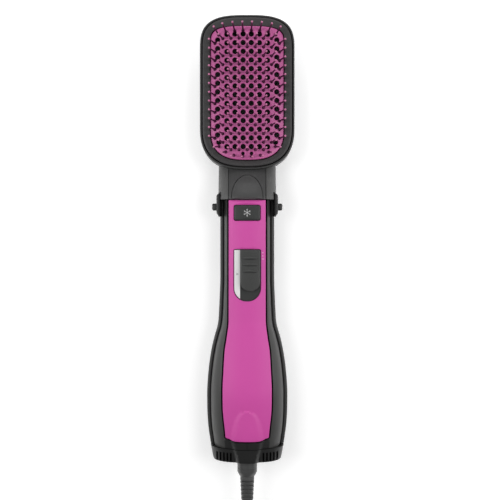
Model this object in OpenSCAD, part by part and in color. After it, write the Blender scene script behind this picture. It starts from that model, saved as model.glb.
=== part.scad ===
// Hot air paddle brush, lying on its back: bristles up (+Z), head towards +Y, cord towards -Y.
// The origin is on the resting plane, under the middle of the brush without its cord. Millimetres.

/* [Handle] */
// Wall of the front housing
front_wall = 2.4; // [2:0.1:2.6]
// Wall of the rear housing
rear_wall = 3.6; // [3.3:0.1:4]
// Width of the rear housing's rim beside the front housing
rim_step = 3; // [2:0.1:3.2]
// Thickness of the coloured front cover
cover_wall = 2; // [1.6:0.1:2.2]
// Gap round the front cover
cover_gap = 0.5; // [0.3:0.05:0.8]
// Radius of the outlet spigot that the head slides on to
spigot_r = 12.4; // [12:0.1:12.6]

/* [Brush head] */
// Half width of the head
head_hw = 35.7; // [34:0.1:37]
// Half width of the bristle pad
pad_hw = 27.5; // [27:0.1:28.5]
// Height of the rear shell's rim
rim_z = 33; // [32.5:0.1:34]
// Radius of the pad's crown, across the head
crown_r = 94; // [88:1:100]
// Height of the pad's crown
crown_z = 37; // [36.5:0.1:38]
// Thickness of the pad
pad_t = 2.2; // [1.8:0.1:2.4]
// Diameter of an air vent in the pad
vent_d = 3.7; // [3:0.1:3.8]
// Length of a bristle above the pad
bristle_len = 14.5; // [10:0.5:16]
// Radius of a bristle's ball tip
tip_r = 0.8; // [0.6:0.05:1]

/* [Controls] */
// Travel of the switch slider
slide_travel = 6; // [4:0.5:6]
// Width of the cool shot button
button_w = 19.2; // [17:0.2:19.4]
// Height of the cool shot button along the handle
button_l = 11.2; // [10:0.2:11.4]

/* [Air path] */
// Radius of the motor
motor_r = 14; // [12:0.5:14.5]
// Radius of the fan over its blade tips
fan_r = 18.5; // [17:0.5:18.5]
// Number of fan blades
blades = 9; // [7:1:11]
// Outer radius of the heater tube
tube_r = 11; // [10.6:0.1:11]

/* [Cord] */
// Diameter of the mains cord
cord_d = 7; // [6.8:0.1:7]
// Height of the cord's exit
exit_z = 30; // [29.5:0.1:30.5]

/* [Hidden] */
ROWS = 13;
function row_name(k) = str("bristle_row_", k < 10 ? "0" : "", k);

SQ = 2.5;            // exponent of the rounded cross-sections
SEAM = 33;           // Y of the seam between handle and head
CAP_Y = -151.5;      // Y where the inlet cap starts
END_Y = -164.6;      // Y of the handle's end
COLLAR_END = -175;   // Y of the swivel collar's end
RELIEF_END = -200;   // Y of the strain relief's end
HEAD_TOP = 172.8;
HEAD_LOW = 56.3;
PAD_TOP = 163.4;
PAD_LOW = 63.2;
FAN_Z = 25.5;        // height of the motor's axis
AIR_Z = 21.15;       // height of the heater's and the spigot's axis
BUTTON_Y = 23.2;
LATCH_Z = 24;
TRAY_FLOOR = 38;     // underside of the switch tray
pad_r = crown_r - pad_t;
axis_z = crown_z - crown_r;
PITCH_X = 6.1;
PITCH_Y = 6.49;
ROW_TOP = 154.2;     // Y of the first bristle row
SIDE_X = 24.3;       // X of the edge bristles' roots
RUN = 0.06;          // radial clearance of a running fit
COIL = [-16.4, -282];  // centre of the cord's coil
COIL_R = 48.8;       // radius of the coil's outer turn, on the cord's centreline
COIL_PITCH = 7.2;    // distance between two turns
LOW_Z = 4.3;         // heights of the coil's two layers
HIGH_Z = 11.4;
JOIN_A = 25;         // angle at which the cord joins the coil
PLUG_AT = [COIL[0], COIL[1] - 36, 23.2];

// Stations [y, half width, lowest z, highest z], from the seam down to the cord's end
HANDLE = [
    [34, 20.6, 5, 42], [-25, 20.6, 5, 42], [-40, 21.1, 4.7, 42.3], [-57, 21.95, 4, 43],
    [-62, 22.7, 3.6, 43.7], [-69, 24.7, 3, 45], [-80, 27.3, 1.5, 47], [-92, 29.1, 0, 49],
    [-104, 30.2, -0.7, 50.5], [-113, 30.6, -0.7, 51], [-125, 30.5, -0.7, 50.5],
    [-136, 29.9, 0.5, 49.5], [-148, 28.3, 2.8, 47.5], [-156, 26.9, 4.2, 45.5],
    [-162, 25.6, 5.6, 43.6], [-164.6, 22, 8, 41]];
NECK = [
    [68, 21.9, 3, 26], [60, 22, 2.6, 28.5], [52, 22, 3.2, 33.5], [44, 22, 4.2, 38.5],
    [33.4, 22, 5, 42]];
// Stations [y, half width] of the front cover's outline
COVER = [
    [33, 13.8], [-57, 13.8], [-69, 15.1], [-80, 16.7], [-94, 17.5], [-108, 18.1], [-120, 18],
    [-145, 16]];
// Stations along Y at which the handle's and the neck's surfaces are built
handle_ys = [33, 5, -25, -40, -57, -63, -69, -79, -88, -98, -108, -118, -128, -138, -145, CAP_Y];
neck_ys = [68, 64, 60, 56, 52, 48, 44, 38.5, 33.4];
neck_face_ys = [58, 55, 52, 48, 44, 38.5, 33.4];
boss_ys = [-122, -130, -138, -146, CAP_Y + 0.3];
lip_ys = [-70, -78, -88, -98, -108, -118, -128, -138, -145];
// Places [x, y] of the housing screws and of the head's screws
SCREWS = [[21, -92], [19.8, -135]];
PILLARS = [[30.4, 132], [30.4, 90]];

// ---- Curves and sections ----

// Monotone cubic through column k of a station list, whose y runs downwards
function secant(t, i, k) = (t[i + 1][k] - t[i][k]) / (t[i + 1][0] - t[i][0]);
function tangent(t, i, k) = i == 0 || i == len(t) - 1 ? 0
    : let (p = secant(t, i - 1, k), q = secant(t, i, k)) p * q <= 0 ? 0 : 2 * p * q / (p + q);
function span(t, y, i = 0) = i >= len(t) - 2 || y >= t[i + 1][0] ? i : span(t, y, i + 1);
function at(t, y, k) = let (
    i = span(t, y),
    d = t[i + 1][0] - t[i][0],
    u = max(0, min(1, (y - t[i][0]) / d)))
    (2 * u ^ 3 - 3 * u ^ 2 + 1) * t[i][k] + (u ^ 3 - 2 * u ^ 2 + u) * d * tangent(t, i, k)
    + (3 * u ^ 2 - 2 * u ^ 3) * t[i + 1][k] + (u ^ 3 - u ^ 2) * d * tangent(t, i + 1, k);
function spow(v, p) = sign(v) * pow(abs(v), p);
function steps(a, b, n) = [for (i = [0:n]) a + (b - a) * i / n];

// One point of a rounded cross-section, ox and oz inside its surface
function section_point(t, y, a, ox, oz) = let (lo = at(t, y, 2), hi = at(t, y, 3))
    [(at(t, y, 1) - ox) * spow(cos(a), 2 / SQ), y,
        (hi + lo) / 2 + ((hi - lo) / 2 - oz) * spow(sin(a), 2 / SQ)];
// Rows of points over part of the section, and closed rings over all of it
function patch(t, ys, a0, a1, n, ox, oz) =
    [for (y = ys) [for (a = steps(a0, a1, n)) section_point(t, y, a, ox, oz)]];
function rings(t, ys, n, ox, oz) =
    [for (y = ys) [for (j = [0:n - 1]) section_point(t, y, 360 * (j + 0.5) / n, ox, oz)]];

// Outline with straight sides and a differently rounded top and bottom, o inside its edge
function rounded(w, top, top_c, top_n, low, low_c, low_n, o, n = 22) = concat(
    [for (a = steps(0, 180, n))
        [(w - o) * spow(cos(a), 2 / top_n), top_c + (top - o - top_c) * spow(sin(a), 2 / top_n)]],
    [for (a = steps(180, 360, n))
        [(w - o) * spow(cos(a), 2 / low_n), low_c + (low_c - low - o) * spow(sin(a), 2 / low_n)]]);
function head_outline(o) = rounded(head_hw, HEAD_TOP, 146, 3.1, HEAD_LOW, 88, 2.57, o);
function pad_outline(o) = rounded(pad_hw, PAD_TOP, 150, 3.8, PAD_LOW, 86, 2.6, o);
// Height of the head's back, which rises towards its tip
function back_z(y) = y < 80 ? 0 : 10 * (y - 80) / (HEAD_TOP - 80);
function lift(pts, t) = [for (p = pts) [p[0], p[1], back_z(p[1]) * (1 - t) + rim_z * t]];
function level(pts, z) = [for (p = pts) [p[0], p[1], z]];
// Rectangle with rounded corners: rt at its upper end and rb at its lower end
function corner(x, y, r, a) = [for (b = steps(a, a + 90, 6)) [x + r * cos(b), y + r * sin(b)]];
function rect_outline(x0, x1, y0, y1, rt, rb) = concat(
    corner(x1 - rt, y1 - rt, rt, 0), corner(x0 + rt, y1 - rt, rt, 90),
    corner(x0 + rb, y0 + rb, rb, 180), corner(x1 - rb, y0 + rb, rb, 270));
function cover_outline(g) = let (
    side = [for (y = steps(SEAM + g, -143.2, 24)) [at(COVER, y, 1) + g, y]],
    right = concat(side, [[12.6 + g, -144.3 - g], [8, -145.4 - g]]),
    n = len(right))
    concat(right, [for (i = [n - 1:-1:0]) [-right[i][0], right[i][1]]]);
// Height of the crowned surface of radius r at x
function crown(x, r) = axis_z + sqrt(r ^ 2 - x ^ 2);

// Smooth run from p to q that starts along u and ends along v
function run(p, q, u, v, n) = [for (t = steps(0, 1, n))
    (2 * t ^ 3 - 3 * t ^ 2 + 1) * p + (t ^ 3 - 2 * t ^ 2 + t) * u
    + (3 * t ^ 2 - 2 * t ^ 3) * q + (t ^ 3 - t ^ 2) * v];
function ease(t) = let (u = max(0, min(1, t))) u * u * (3 - 2 * u);
function coil_point(a, r, z) = [COIL[0] + r * cos(a), COIL[1] + r * sin(a), z];
function round_coil(a) = [sin(a), -cos(a), 0];
// The cord from the strain relief down to the coil's outer turn
cord_run = concat([[0, RELIEF_END - 0.1, exit_z]],
    run([0, RELIEF_END - 4, exit_z], coil_point(JOIN_A, COIL_R, LOW_Z),
        [0, -70, 0], 75 * round_coil(JOIN_A), 14));
// The cord from the coil's last turn up over the coil and into the plug
tail_run = concat(
    [for (a = steps(176, -10, 18)) coil_point(a, COIL_R - COIL_PITCH / 2 - 2.2 * ease((75 - a) / 95),
        HIGH_Z + 7.1 * ease((176 - a) / 72) + 2 * ease((75 - a) / 95))],
    run(coil_point(-20, COIL_R - COIL_PITCH / 2 - 2.2, HIGH_Z + 9.1), PLUG_AT + [16.1, 0, 0],
        30 * round_coil(-20), [-30, 0, 0], 7));

// ---- Solids from points ----

function quad(a, b, c, d) = [[a, d, c], [a, c, b]];
// Solid through a list of rings: capped at both ends, or closed on itself when loop is true
module loft(r, loop = false) {
    m = len(r);
    n = len(r[0]);
    sides = [for (i = [0:m - (loop ? 1 : 2)], j = [0:n - 1], f = quad(
        i * n + j, i * n + (j + 1) % n,
        ((i + 1) % m) * n + (j + 1) % n, ((i + 1) % m) * n + j)) f];
    caps = loop ? [] : concat(
        [for (j = [1:n - 2]) [0, j, j + 1]],
        [for (j = [1:n - 2]) [(m - 1) * n, (m - 1) * n + j + 1, (m - 1) * n + j]]);
    polyhedron([for (row = r, p = row) p], concat(sides, caps), convexity = 8);
}
// Solid between an outer and an inner patch of the same size
module plate(o, q) {
    m = len(o);
    n = len(o[0]);
    in = m * n;
    over = [for (i = [0:m - 2], j = [0:n - 2], f = quad(
        i * n + j, i * n + j + 1, i * n + n + j + 1, i * n + n + j)) f];
    under = [for (f = over) [in + f[0], in + f[2], in + f[1]]];
    ends = [for (j = [0:n - 2], f = concat(
        quad(j + 1, j, in + j, in + j + 1),
        quad((m - 1) * n + j, (m - 1) * n + j + 1, in + (m - 1) * n + j + 1, in + (m - 1) * n + j))) f];
    flanks = [for (i = [0:m - 2], f = concat(
        quad(i * n, i * n + n, in + i * n + n, in + i * n),
        quad(i * n + 2 * n - 1, i * n + n - 1, in + i * n + n - 1, in + i * n + 2 * n - 1))) f];
    polyhedron([for (g = [o, q], row = g, p = row) p], concat(over, under, ends, flanks), convexity = 8);
}
// Part of a section's skin, between o and q as [x, z] insets from its surface
module skin(t, ys, a0, a1, n, o, q) {
    plate(patch(t, ys, a0, a1, n, o[0], o[1]), patch(t, ys, a0, a1, n, q[0], q[1]));
}
// Tube of n sides through the points of a path
function unit(v) = v / norm(v);
function heading(p, i) = unit(p[min(i + 1, len(p) - 1)] - p[max(i - 1, 0)]);
module tube(p, r, n, up = [0.3, 0.1, 1]) {
    loft([for (i = [0:len(p) - 1]) let (h = heading(p, i), s = unit(cross(h, up)), u = cross(s, h))
        [for (j = [0:n - 1]) p[i] - r * (s * cos(360 * j / n) + u * sin(360 * j / n))]]);
}
// Coil spring along Z
module spring(r, wire, h, turns) {
    n = 9;
    rise = (h - 2 * wire) / (turns * n);
    tube([for (i = [0:turns * n]) [r * cos(360 * i / n), r * sin(360 * i / n), wire + rise * i]], wire, 5);
}
// Cylinder along Y from y0 to y1
module bar(y0, y1, r, r1 = -1, z = 0, x = 0) {
    translate([x, y0, z]) rotate([-90, 0, 0]) cylinder(h = y1 - y0, r1 = r, r2 = r1 < 0 ? r : r1, $fn = 64);
}
// Prism of an outline between two heights
module prism(pts, z0, z1) {
    translate([0, 0, z0]) linear_extrude(z1 - z0) polygon(pts);
}
module block(x0, x1, y0, y1, z0, z1) {
    translate([x0, y0, z0]) cube([x1 - x0, y1 - y0, z1 - z0]);
}
module mirrored() {
    children();
    mirror([1, 0, 0]) children();
}

// ---- Handle ----

// Room for the latches: a recess for the plate and a window for the stem
module latch_window() {
    mirrored() {
        block(19.3, 30, 20.7, 39.1, LATCH_Z - 9.3, LATCH_Z + 9.3);
        block(13.5, 30, 21.7, 32.3, LATCH_Z - 7.3, LATCH_Z + 3.3);
    }
}
// Ridge that the cord's boss raises on the front of the handle
module boss_ridge() intersection() {
    skin(HANDLE, boss_ys, 50, 130, 12, [-1.6, -1.6], [1, 1]);
    prism(concat([[11.6, CAP_Y]], [for (a = steps(0, 180, 16)) [11.6 * cos(a), -147 + 23 * sin(a)]],
        [[-11.6, CAP_Y]]), 30, 60);
}
module front_housing() color("dimgray") {
    difference() {
        union() {
            skin(HANDLE, handle_ys, 0, 180, 22, [rim_step, 0], [rim_step + front_wall, front_wall]);
            boss_ridge();
        }
        prism(cover_outline(cover_gap), 28, 60);
        latch_window();
    }
    mirrored() for (s = SCREWS) difference() {
        translate([s[0], s[1], 25.6]) cylinder(h = 10.9, r = 2.6, $fn = 32);
        translate([s[0], s[1], 25]) cylinder(h = 10.2, r = 1.4, $fn = 32);
    }
}
module rear_housing() color("#2b2b2b") difference() {
    union() {
        skin(HANDLE, handle_ys, 180, 360, 23, [0, 0], [rear_wall, rear_wall]);
        mirrored() for (s = SCREWS) translate([s[0], s[1], 6.5]) cylinder(h = 17.5, r = 3.4, $fn = 32);
    }
    latch_window();
    block(-40, 40, -160, 40, -5, 0);
    mirrored() for (s = SCREWS) translate([s[0], s[1], -1]) {
        cylinder(h = 12, r = 2.6, $fn = 32);
        cylinder(h = 30, r = 1.5, $fn = 32);
    }
}
module housing_screws() color("silver") mirrored() for (s = SCREWS) translate([s[0], s[1], 0]) {
    difference() {
        translate([0, 0, 9]) cylinder(h = 2, r = 2.5, $fn = 32);
        translate([-1.5, -0.3, 8.5]) cube([3, 0.6, 1.1]);
        translate([-0.3, -1.5, 8.5]) cube([0.6, 3, 1.1]);
    }
    translate([0, 0, 11]) cylinder(h = 24, r = 1.4, $fn = 32);
}
// Openings in the front cover for the button and for the switch
module control_openings() {
    prism(rect_outline(-button_w / 2 - 0.3, button_w / 2 + 0.3, BUTTON_Y - button_l / 2 - 0.3,
        BUTTON_Y + button_l / 2 + 0.3, 1.6, 1.6), 30, 60);
    prism(rect_outline(-10.2, 10.2, -42.8, -3.9, 1.3, 7.1), 30, 60);
}
module front_cover() color("#cc489c") difference() {
    union() {
        intersection() {
            skin(HANDLE, handle_ys, 38, 142, 16, [0, 0], [2, cover_wall + 1]);
            prism(cover_outline(0), 28, 60);
        }
        intersection() {
            skin(HANDLE, lip_ys, 30, 150, 16, [rim_step + front_wall + 0.1, front_wall + 0.2],
                [rim_step + front_wall + 0.6, front_wall + 1.4]);
            prism(cover_outline(2), 28, 60);
        }
        intersection() {
            boss_ridge();
            prism(cover_outline(0), 28, 60);
        }
    }
    control_openings();
    block(-30, 30, SEAM - 0.2, 40, 20, 60);
}

// Slots of the inlet cap, in two groups beside the cord's boss
module inlet_slots() {
    mirrored() for (i = [0:4]) block(11.4 + 2.6 * i, 12.8 + 2.6 * i, -170, -155.5, 12, 60);
}
module inlet_cap() color("#1c1c1c") {
    ys = [CAP_Y - 0.2, -156, -159, -162, -163.5, END_Y];
    inner_ys = [CAP_Y, -156, -161.8];
    difference() {
        union() {
            loft(rings(HANDLE, ys, 40, 0, 0));
            intersection() {
                skin(HANDLE, [CAP_Y - 0.2, -156, -159, -163], 50, 130, 12, [-1.4, -2], [1, 1]);
                prism([[11.6, CAP_Y], [8.2, -162.9], [-8.2, -162.9], [-11.6, CAP_Y]], 30, 60);
            }
        }
        loft(rings(HANDLE, inner_ys, 40, 2.4, 2.4));
        inlet_slots();
        bar(-167, -155, 9.5, z = exit_z);
    }
}
module outlet_spigot() color("#3a3a3a") difference() {
    union() {
        bar(22, 46, spigot_r, z = AIR_Z);
        intersection() {
            bar(22, 25, 13.6, z = AIR_Z);
            block(-14, 14, 22, 25, 10, 33.5);
        }
    }
    bar(21, 50, spigot_r - 1.2, z = AIR_Z);
}

// ---- Controls ----

module switch_tray() color("#3c3e3c") difference() {
    prism(rect_outline(-10.1, 10.1, -42.7, -4, 1.2, 7), TRAY_FLOOR, 40.2);
    prism(rect_outline(-9.2, 9.2, -41.8, -4.9, 0.6, 6.1), TRAY_FLOOR + 1, 50);
    block(-0.4, 4.4, -17.6 - slide_travel - 5, -17.6, 30, 50);
}
module indicator_strip() color("white") intersection() {
    prism(rect_outline(-9.1, 9.1, -41.6, -5, 0.5, 6), TRAY_FLOOR + 1, TRAY_FLOOR + 2.2);
    block(-9.2, -5.3, -45, 0, 30, 60);
}
module slider_knob() color("#4a4c4a") {
    prism(rect_outline(-4.9, 9, -35, -5.2, 0.8, 6), TRAY_FLOOR + 1.3, 43);
    for (y = [-10.5, -15.4, -20.3]) translate([-3.6, y, 43]) rotate([0, 90, 0])
        cylinder(h = 11.4, r = 0.8, $fn = 32);
    block(0, 4, -22, -18, 36.2, TRAY_FLOOR + 1.4);
}
module switch_body() color("#202020") difference() {
    block(-6, 8, -38, -8, 34.8, TRAY_FLOOR);
    block(-0.4, 4.4, -17.6 - slide_travel - 5, -17.6, 35.8, 40);
}
module cool_button() color("#3c4040") translate([0, BUTTON_Y, 0])
    prism(rect_outline(-button_w / 2, button_w / 2, -button_l / 2, button_l / 2, 1.3, 1.3), 39, 42.8);
module cool_spring() color("silver") translate([0, BUTTON_Y, 34.8]) spring(4.9, 0.35, 4.2, 4);
module cool_switch() color("#202020") {
    block(-3, 3, BUTTON_Y - 3, BUTTON_Y + 3, 34.8, 36.4);
    translate([0, BUTTON_Y, 36.3]) cylinder(h = 0.9, r = 1.6, $fn = 32);
}
module circuit_board() color("#2f6b3a") difference() {
    block(-11, 11, -46, 30, 33.6, 34.8);
    for (y = [-43, 27]) translate([8, y, 30]) cylinder(h = 8, r = 1.2, $fn = 32);
}
module lead_wires() color("#8a8a8a") mirrored() tube([
    [5, -152, 28], [9, -148, 32], [13, -142, 36.5], [14.5, -134, 39], [14.5, -122, 41], [13.5, -104, 41],
    [12.6, -90, 40], [10.8, -76, 38], [9, -64, 36.4], [8, -54, 35.8], [7.6, -44, 35.9]], 1.1, 8);

// ---- Air path ----

module motor_mount() color("#555555") difference() {
    union() {
        bar(-104, -96, 16.5, z = FAN_Z);
        for (a = [0:90:270]) translate([0, -104, FAN_Z]) rotate([0, a, 0]) translate([-1.2, 0, 14.5])
            cube([2.4, 8, 6]);
    }
    bar(-110, -90, motor_r, z = FAN_Z);
}
module motor_can() color("silver") difference() {
    union() {
        bar(-107, -78, motor_r, z = FAN_Z);
        bar(-78, -75, 5, z = FAN_Z);
    }
    bar(-110, -90, 1.2 + RUN, z = FAN_Z);
    for (a = [0:60:300]) translate([0, -80, FAN_Z]) rotate([0, a, 0]) translate([0, 0, 10.5])
        rotate([-90, 0, 0]) cylinder(h = 4, r = 1.8, $fn = 32);
}
module motor_shaft() color("lightgray") bar(-125, -91, 1.2, z = FAN_Z);
module impeller() color("#cccccc") difference() {
    union() {
        bar(-124, -110, 5, 9, z = FAN_Z);
        for (i = [0:blades - 1]) translate([0, -117, FAN_Z]) rotate([0, 360 * i / blades, 0])
            translate([0, 0, 5.5]) rotate([0, 0, 38]) translate([-0.6, -6, 0]) cube([1.2, 12, fan_r - 6]);
    }
    bar(-130, -100, 1.2, z = FAN_Z);
}
module heater_tube() color("#d8c9a0") difference() {
    bar(-52, 18, tube_r, z = AIR_Z);
    bar(-60, 20, tube_r - 0.7, z = AIR_Z);
}
module heater_boards() color("#b8ab86") translate([0, 0, AIR_Z]) {
    block(-8.8, 8.8, -50, 16, -0.5, 0.5);
    block(-0.5, 0.5, -50, 16, -8.8, 8.8);
}
module heater_coil() color("#8c8178") translate([0, 0, AIR_Z]) rotate([-90, 0, 0]) translate([0, 0, -46])
    tube([for (i = [0:108]) [9.3 * cos(30 * i), 9.3 * sin(30 * i), 56 * i / 108]], 0.42, 5);
module thermostat() color("#7a5a38") {
    bar(16, 17.5, 4.2, z = AIR_Z);
    bar(17.5, 19.5, 3.4, z = AIR_Z);
}
module thermal_fuse() color("lightgray") {
    bar(-10, 0, 1.4, x = 4.6, z = AIR_Z + 4.6);
    bar(-16, 6, 0.4, x = 4.6, z = AIR_Z + 4.6);
}

// ---- Release latches ----

module latch() {
    r = 3;
    intersection() {
        translate([20.8, 0, 0]) rotate([90, 0, 90]) linear_extrude(2.6)
            polygon(rect_outline(21, 38.6, LATCH_Z - 9, LATCH_Z + 9, 1.5, 1.5));
        translate([0, 0, 10]) linear_extrude(30)
            polygon([[15, 21], [21.6, 21], [23.4, 21 + r], [23.4, 38.6 - r + 1.4], [22, 38.6], [15, 38.6]]);
    }
    block(16.9, 20.9, 22, 32, LATCH_Z - 7, LATCH_Z + 3);
    block(23.3, 26.6, 25.7, 30.8, LATCH_Z - 5, LATCH_Z + 5);
}
module latch_right() color("#161616") latch();
module latch_left() color("#161616") mirror([1, 0, 0]) latch();
module latch_spring() {
    translate([12.9, 27, LATCH_Z]) rotate([0, 90, 0]) spring(2.4, 0.3, 4, 3);
}
module latch_spring_right() color("silver") latch_spring();
module latch_spring_left() color("silver") mirror([1, 0, 0]) latch_spring();

// ---- Brush head ----

module neck_sleeve() color("#5e5e5e") difference() {
    loft(rings(NECK, neck_ys, 36, 0, 0));
    difference() {
        loft(rings(NECK, [69, 64, 60, 56, 52, 48, 44, 38.5, 32], 36, 2.4, 2.4));
        block(-30, 30, 33.4, 37.4, 0, 60);
    }
    bar(30, 60, spigot_r + 0.3, z = AIR_Z);
    latch_window();
    intersection() {
        skin(NECK, neck_face_ys, 30, 150, 14, [-2, -2], [0.5, 0.5]);
        block(-14.3, 14.3, 30, 54.5, 20, 60);
    }
}
module neck_trim() color("#4a4a4a") intersection() {
    skin(NECK, neck_face_ys, 35, 145, 14, [-0.1, -0.1], [0.5, 0.5]);
    prism([for (a = steps(0, 180, 16)) [11.6 * cos(a), 33.6 + 18.3 * sin(a)]], 20, 60);
}
module head_rear_shell() color("#2b2b2b") difference() {
    union() {
        loft([
            lift(head_outline(15), 0), lift(head_outline(9), 0.03), lift(head_outline(4.4), 0.11),
            lift(head_outline(1.8), 0.24), lift(head_outline(0.4), 0.44), lift(head_outline(0), 0.66),
            lift(head_outline(0), 1), lift(head_outline(2.4), 1), lift(head_outline(2.4), 0.66),
            lift(head_outline(3), 0.46), lift(head_outline(4.6), 0.3), lift(head_outline(7), 0.19),
            lift(head_outline(11), 0.12), lift(head_outline(16), 0.09)]);
        mirrored() for (p = PILLARS) translate([p[0], p[1], back_z(p[1]) + 5])
            cylinder(h = 25 - back_z(p[1]), r = 2.4, $fn = 32);
    }
    loft(rings(NECK, [69, 64, 60, 56, 52], 36, -0.1, -0.1));
    mirrored() for (p = PILLARS) translate([p[0], p[1], -1]) {
        cylinder(h = back_z(p[1]) + 8, r = 2, $fn = 32);
        cylinder(h = 40, r = 1.1, $fn = 32);
    }
}
module head_screws() color("silver") mirrored() for (p = PILLARS)
    translate([p[0], p[1], back_z(p[1]) + 5]) {
    difference() {
        cylinder(h = 2, r = 1.9, $fn = 32);
        translate([-1.2, -0.25, -0.5]) cube([2.4, 0.5, 1.1]);
        translate([-0.25, -1.2, -0.5]) cube([0.5, 2.4, 1.1]);
    }
    translate([0, 0, 2]) cylinder(h = 22 - back_z(p[1]), r = 1, $fn = 32);
}
module head_frame() color("dimgray") loft([
    level(head_outline(2.6), 30.1), level(head_outline(2.6), 33.3), level(head_outline(3.3), 34.2),
    level(head_outline(4.4), 34.5), level(pad_outline(-1.4), 33.9), level(pad_outline(-0.6), 33.3),
    level(pad_outline(-0.6), 30.1)], loop = true);

// A shell that follows the pad's crown, between two radii
module crown_shell(r0, r1) {
    translate([0, 40, axis_z]) rotate([-90, 0, 0]) difference() {
        cylinder(h = 140, r = r1, $fn = 128);
        translate([0, 0, -1]) cylinder(h = 142, r = r0, $fn = 128);
    }
}
module vents() {
    for (i = [0:13], x = [-2.5:2.5]) translate([PITCH_X * x, 157.4 - PITCH_Y * i])
        circle(d = vent_d, $fn = 24);
    for (i = [0:12], x = [-22.2, 22.2]) let (low = i == 12 ? 1 : 0)
        translate([x * (1 - 0.045 * low), 153.4 - PITCH_Y * i + low]) circle(d = vent_d, $fn = 24);
    for (x = [-3.2, 3.2]) translate([x, 67.9]) circle(d = vent_d * 0.75, $fn = 24);
}
module bristle_pad() color("#b03a82") intersection() {
    crown_shell(pad_r, crown_r);
    translate([0, 0, 28]) linear_extrude(12) difference() {
        polygon(pad_outline(0));
        vents();
    }
}
// A bristle rooted at [x, y] on the pad, square to its crown and leaning lean degrees towards +Y
module bristle(x, y, lean = 0) {
    translate([x, y, crown(x, crown_r)]) rotate([-lean, asin(x / crown_r), 0]) {
        translate([0, 0, -pad_t - 0.6])
            cylinder(h = pad_t + bristle_len + 0.6, r1 = 0.85, r2 = 0.5, $fn = 16);
        translate([0, 0, -0.2]) cylinder(h = 1, r1 = 1.35, r2 = 0.9, $fn = 16);
        translate([0, 0, bristle_len]) sphere(r = tip_r, $fn = 16);
    }
}
// The web under the pad that joins the bristles of one row
module web(outline) {
    intersection() {
        crown_shell(pad_r - 1.5, pad_r - 0.05);
        prism(outline, 20, 50);
    }
}
module bristle_row(k) color("#4a1838") {
    y = ROW_TOP - PITCH_Y * (k - 1);
    for (i = [-3:3]) bristle(PITCH_X * i, y);
    web([[19.4, y - 1.1], [19.4, y + 1.1], [-19.4, y + 1.1], [-19.4, y - 1.1]]);
}
module edge_bristles() {
    for (i = [0:11]) bristle(SIDE_X, ROW_TOP - PITCH_Y * (i + 0.5));
    web([[23.3, 77], [25.3, 77], [25.3, 153.5], [23.3, 153.5]]);
}
module bristle_edge_right() color("#4a1838") edge_bristles();
module bristle_edge_left() color("#4a1838") mirror([1, 0, 0]) edge_bristles();
function arc_y(x) = 160 - 3.4 * pow(abs(x) / 22.4, 4);
function low_arc_y(x) = 65.7 + 7.5 * pow(abs(x) / 21.2, 3);
module bristle_arc_top() color("#4a1838") {
    xs = [-21.4, -15.8, -9.4, -3.1, 3.1, 9.4, 15.8, 21.4];
    for (x = xs) bristle(x, arc_y(x), 11);
    web(concat(
        [for (x = steps(22.2, -22.2, 12)) [x, arc_y(x) + 1]],
        [for (x = steps(-22.2, 22.2, 12)) [x, arc_y(x) - 1]]));
}
module bristle_arc_bottom() color("#4a1838") {
    for (x = [-21.2, -16.2, -10, -3.4, 3.4, 10, 16.2, 21.2]) bristle(x, low_arc_y(x), -7);
    for (i = [-2:2]) bristle(PITCH_X * i, 70.7);
    web(concat(
        [for (x = steps(22, -22, 12)) [x, low_arc_y(x) + 1]],
        [for (x = steps(-22, 22, 12)) [x, low_arc_y(x) - 1]]));
    web([[12.8, 69.8], [12.8, 71.6], [-12.8, 71.6], [-12.8, 69.8]]);
    web([[17.5, 68], [17.5, 71.6], [12, 71.6], [12, 68]]);
    web([[-12, 68], [-12, 71.6], [-17.5, 71.6], [-17.5, 68]]);
}

// ---- Cord ----

module swivel_socket() color("#101010") difference() {
    bar(-162.9, -157, 9.5, z = exit_z);
    bar(-170, -150, 6 + RUN, z = exit_z);
}
module swivel_collar() color("#262626") {
    bar(COLLAR_END, COLLAR_END + 3.3, 5.8, 7.4, z = exit_z);
    bar(COLLAR_END + 3.3, END_Y - 0.3, 7.4, z = exit_z);
    bar(END_Y - 0.3, -156.6, 6, z = exit_z);
    bar(-156.7, -154.2, 8.2, z = exit_z);
}
module strain_relief() color("#202020") translate([0, COLLAR_END, exit_z]) rotate([90, 0, 0]) difference() {
    length = COLLAR_END - RELIEF_END;
    cylinder(h = length, r1 = 5.3, r2 = 4.2, $fn = 48);
    for (i = [0:5]) for (a = [0, 180]) rotate([0, 0, a + 90 * (i % 2)])
        translate([2.9, -6, 5 + 3.8 * i]) cube([6, 12, 1.6]);
}
module power_cord() color("#151515") tube(cord_run, cord_d / 2, 10);
module cord_tail() color("#151515") tube(tail_run, cord_d / 2, 10);
// The coil in the outer shape of its two layers
module cord_coil() color("#181818") translate([COIL[0], COIL[1], 0]) rotate_extrude($fn = 96) {
    edge = cord_d / 2;
    out = COIL_R + edge;
    in = COIL_R - 3 * COIL_PITCH - edge;
    polygon([
        [in, LOW_Z - edge], [out, LOW_Z - edge], [out, LOW_Z + 3.4], [out - 3.6, HIGH_Z + edge],
        [in + 3.6, HIGH_Z + edge], [in, LOW_Z + 3.4]]);
}
module cord_tie() color("#303030") translate([COIL[0] - 38, COIL[1], 0]) difference() {
    block(-15, 15, -3, 3, 0, 15.7);
    block(-14.6, 14.6, -4, 4, 0.6, 15.1);
}
module plug_body() color("#181818") translate(PLUG_AT) rotate([0, -90, 0]) {
    translate([0, 0, -16]) cylinder(h = 18, r1 = 4.6, r2 = 6.4, $fn = 48);
    translate([0, 0, 2]) linear_extrude(24) polygon(rect_outline(-8.2, 8.2, -12.5, 12.5, 4, 4));
}
module plug_blades() color("silver") translate(PLUG_AT) {
    block(-44, -26, -7.1, -5.6, -3.2, 3.2);
    block(-44, -26, 5.6, 7.1, -4, 4);
}

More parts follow.
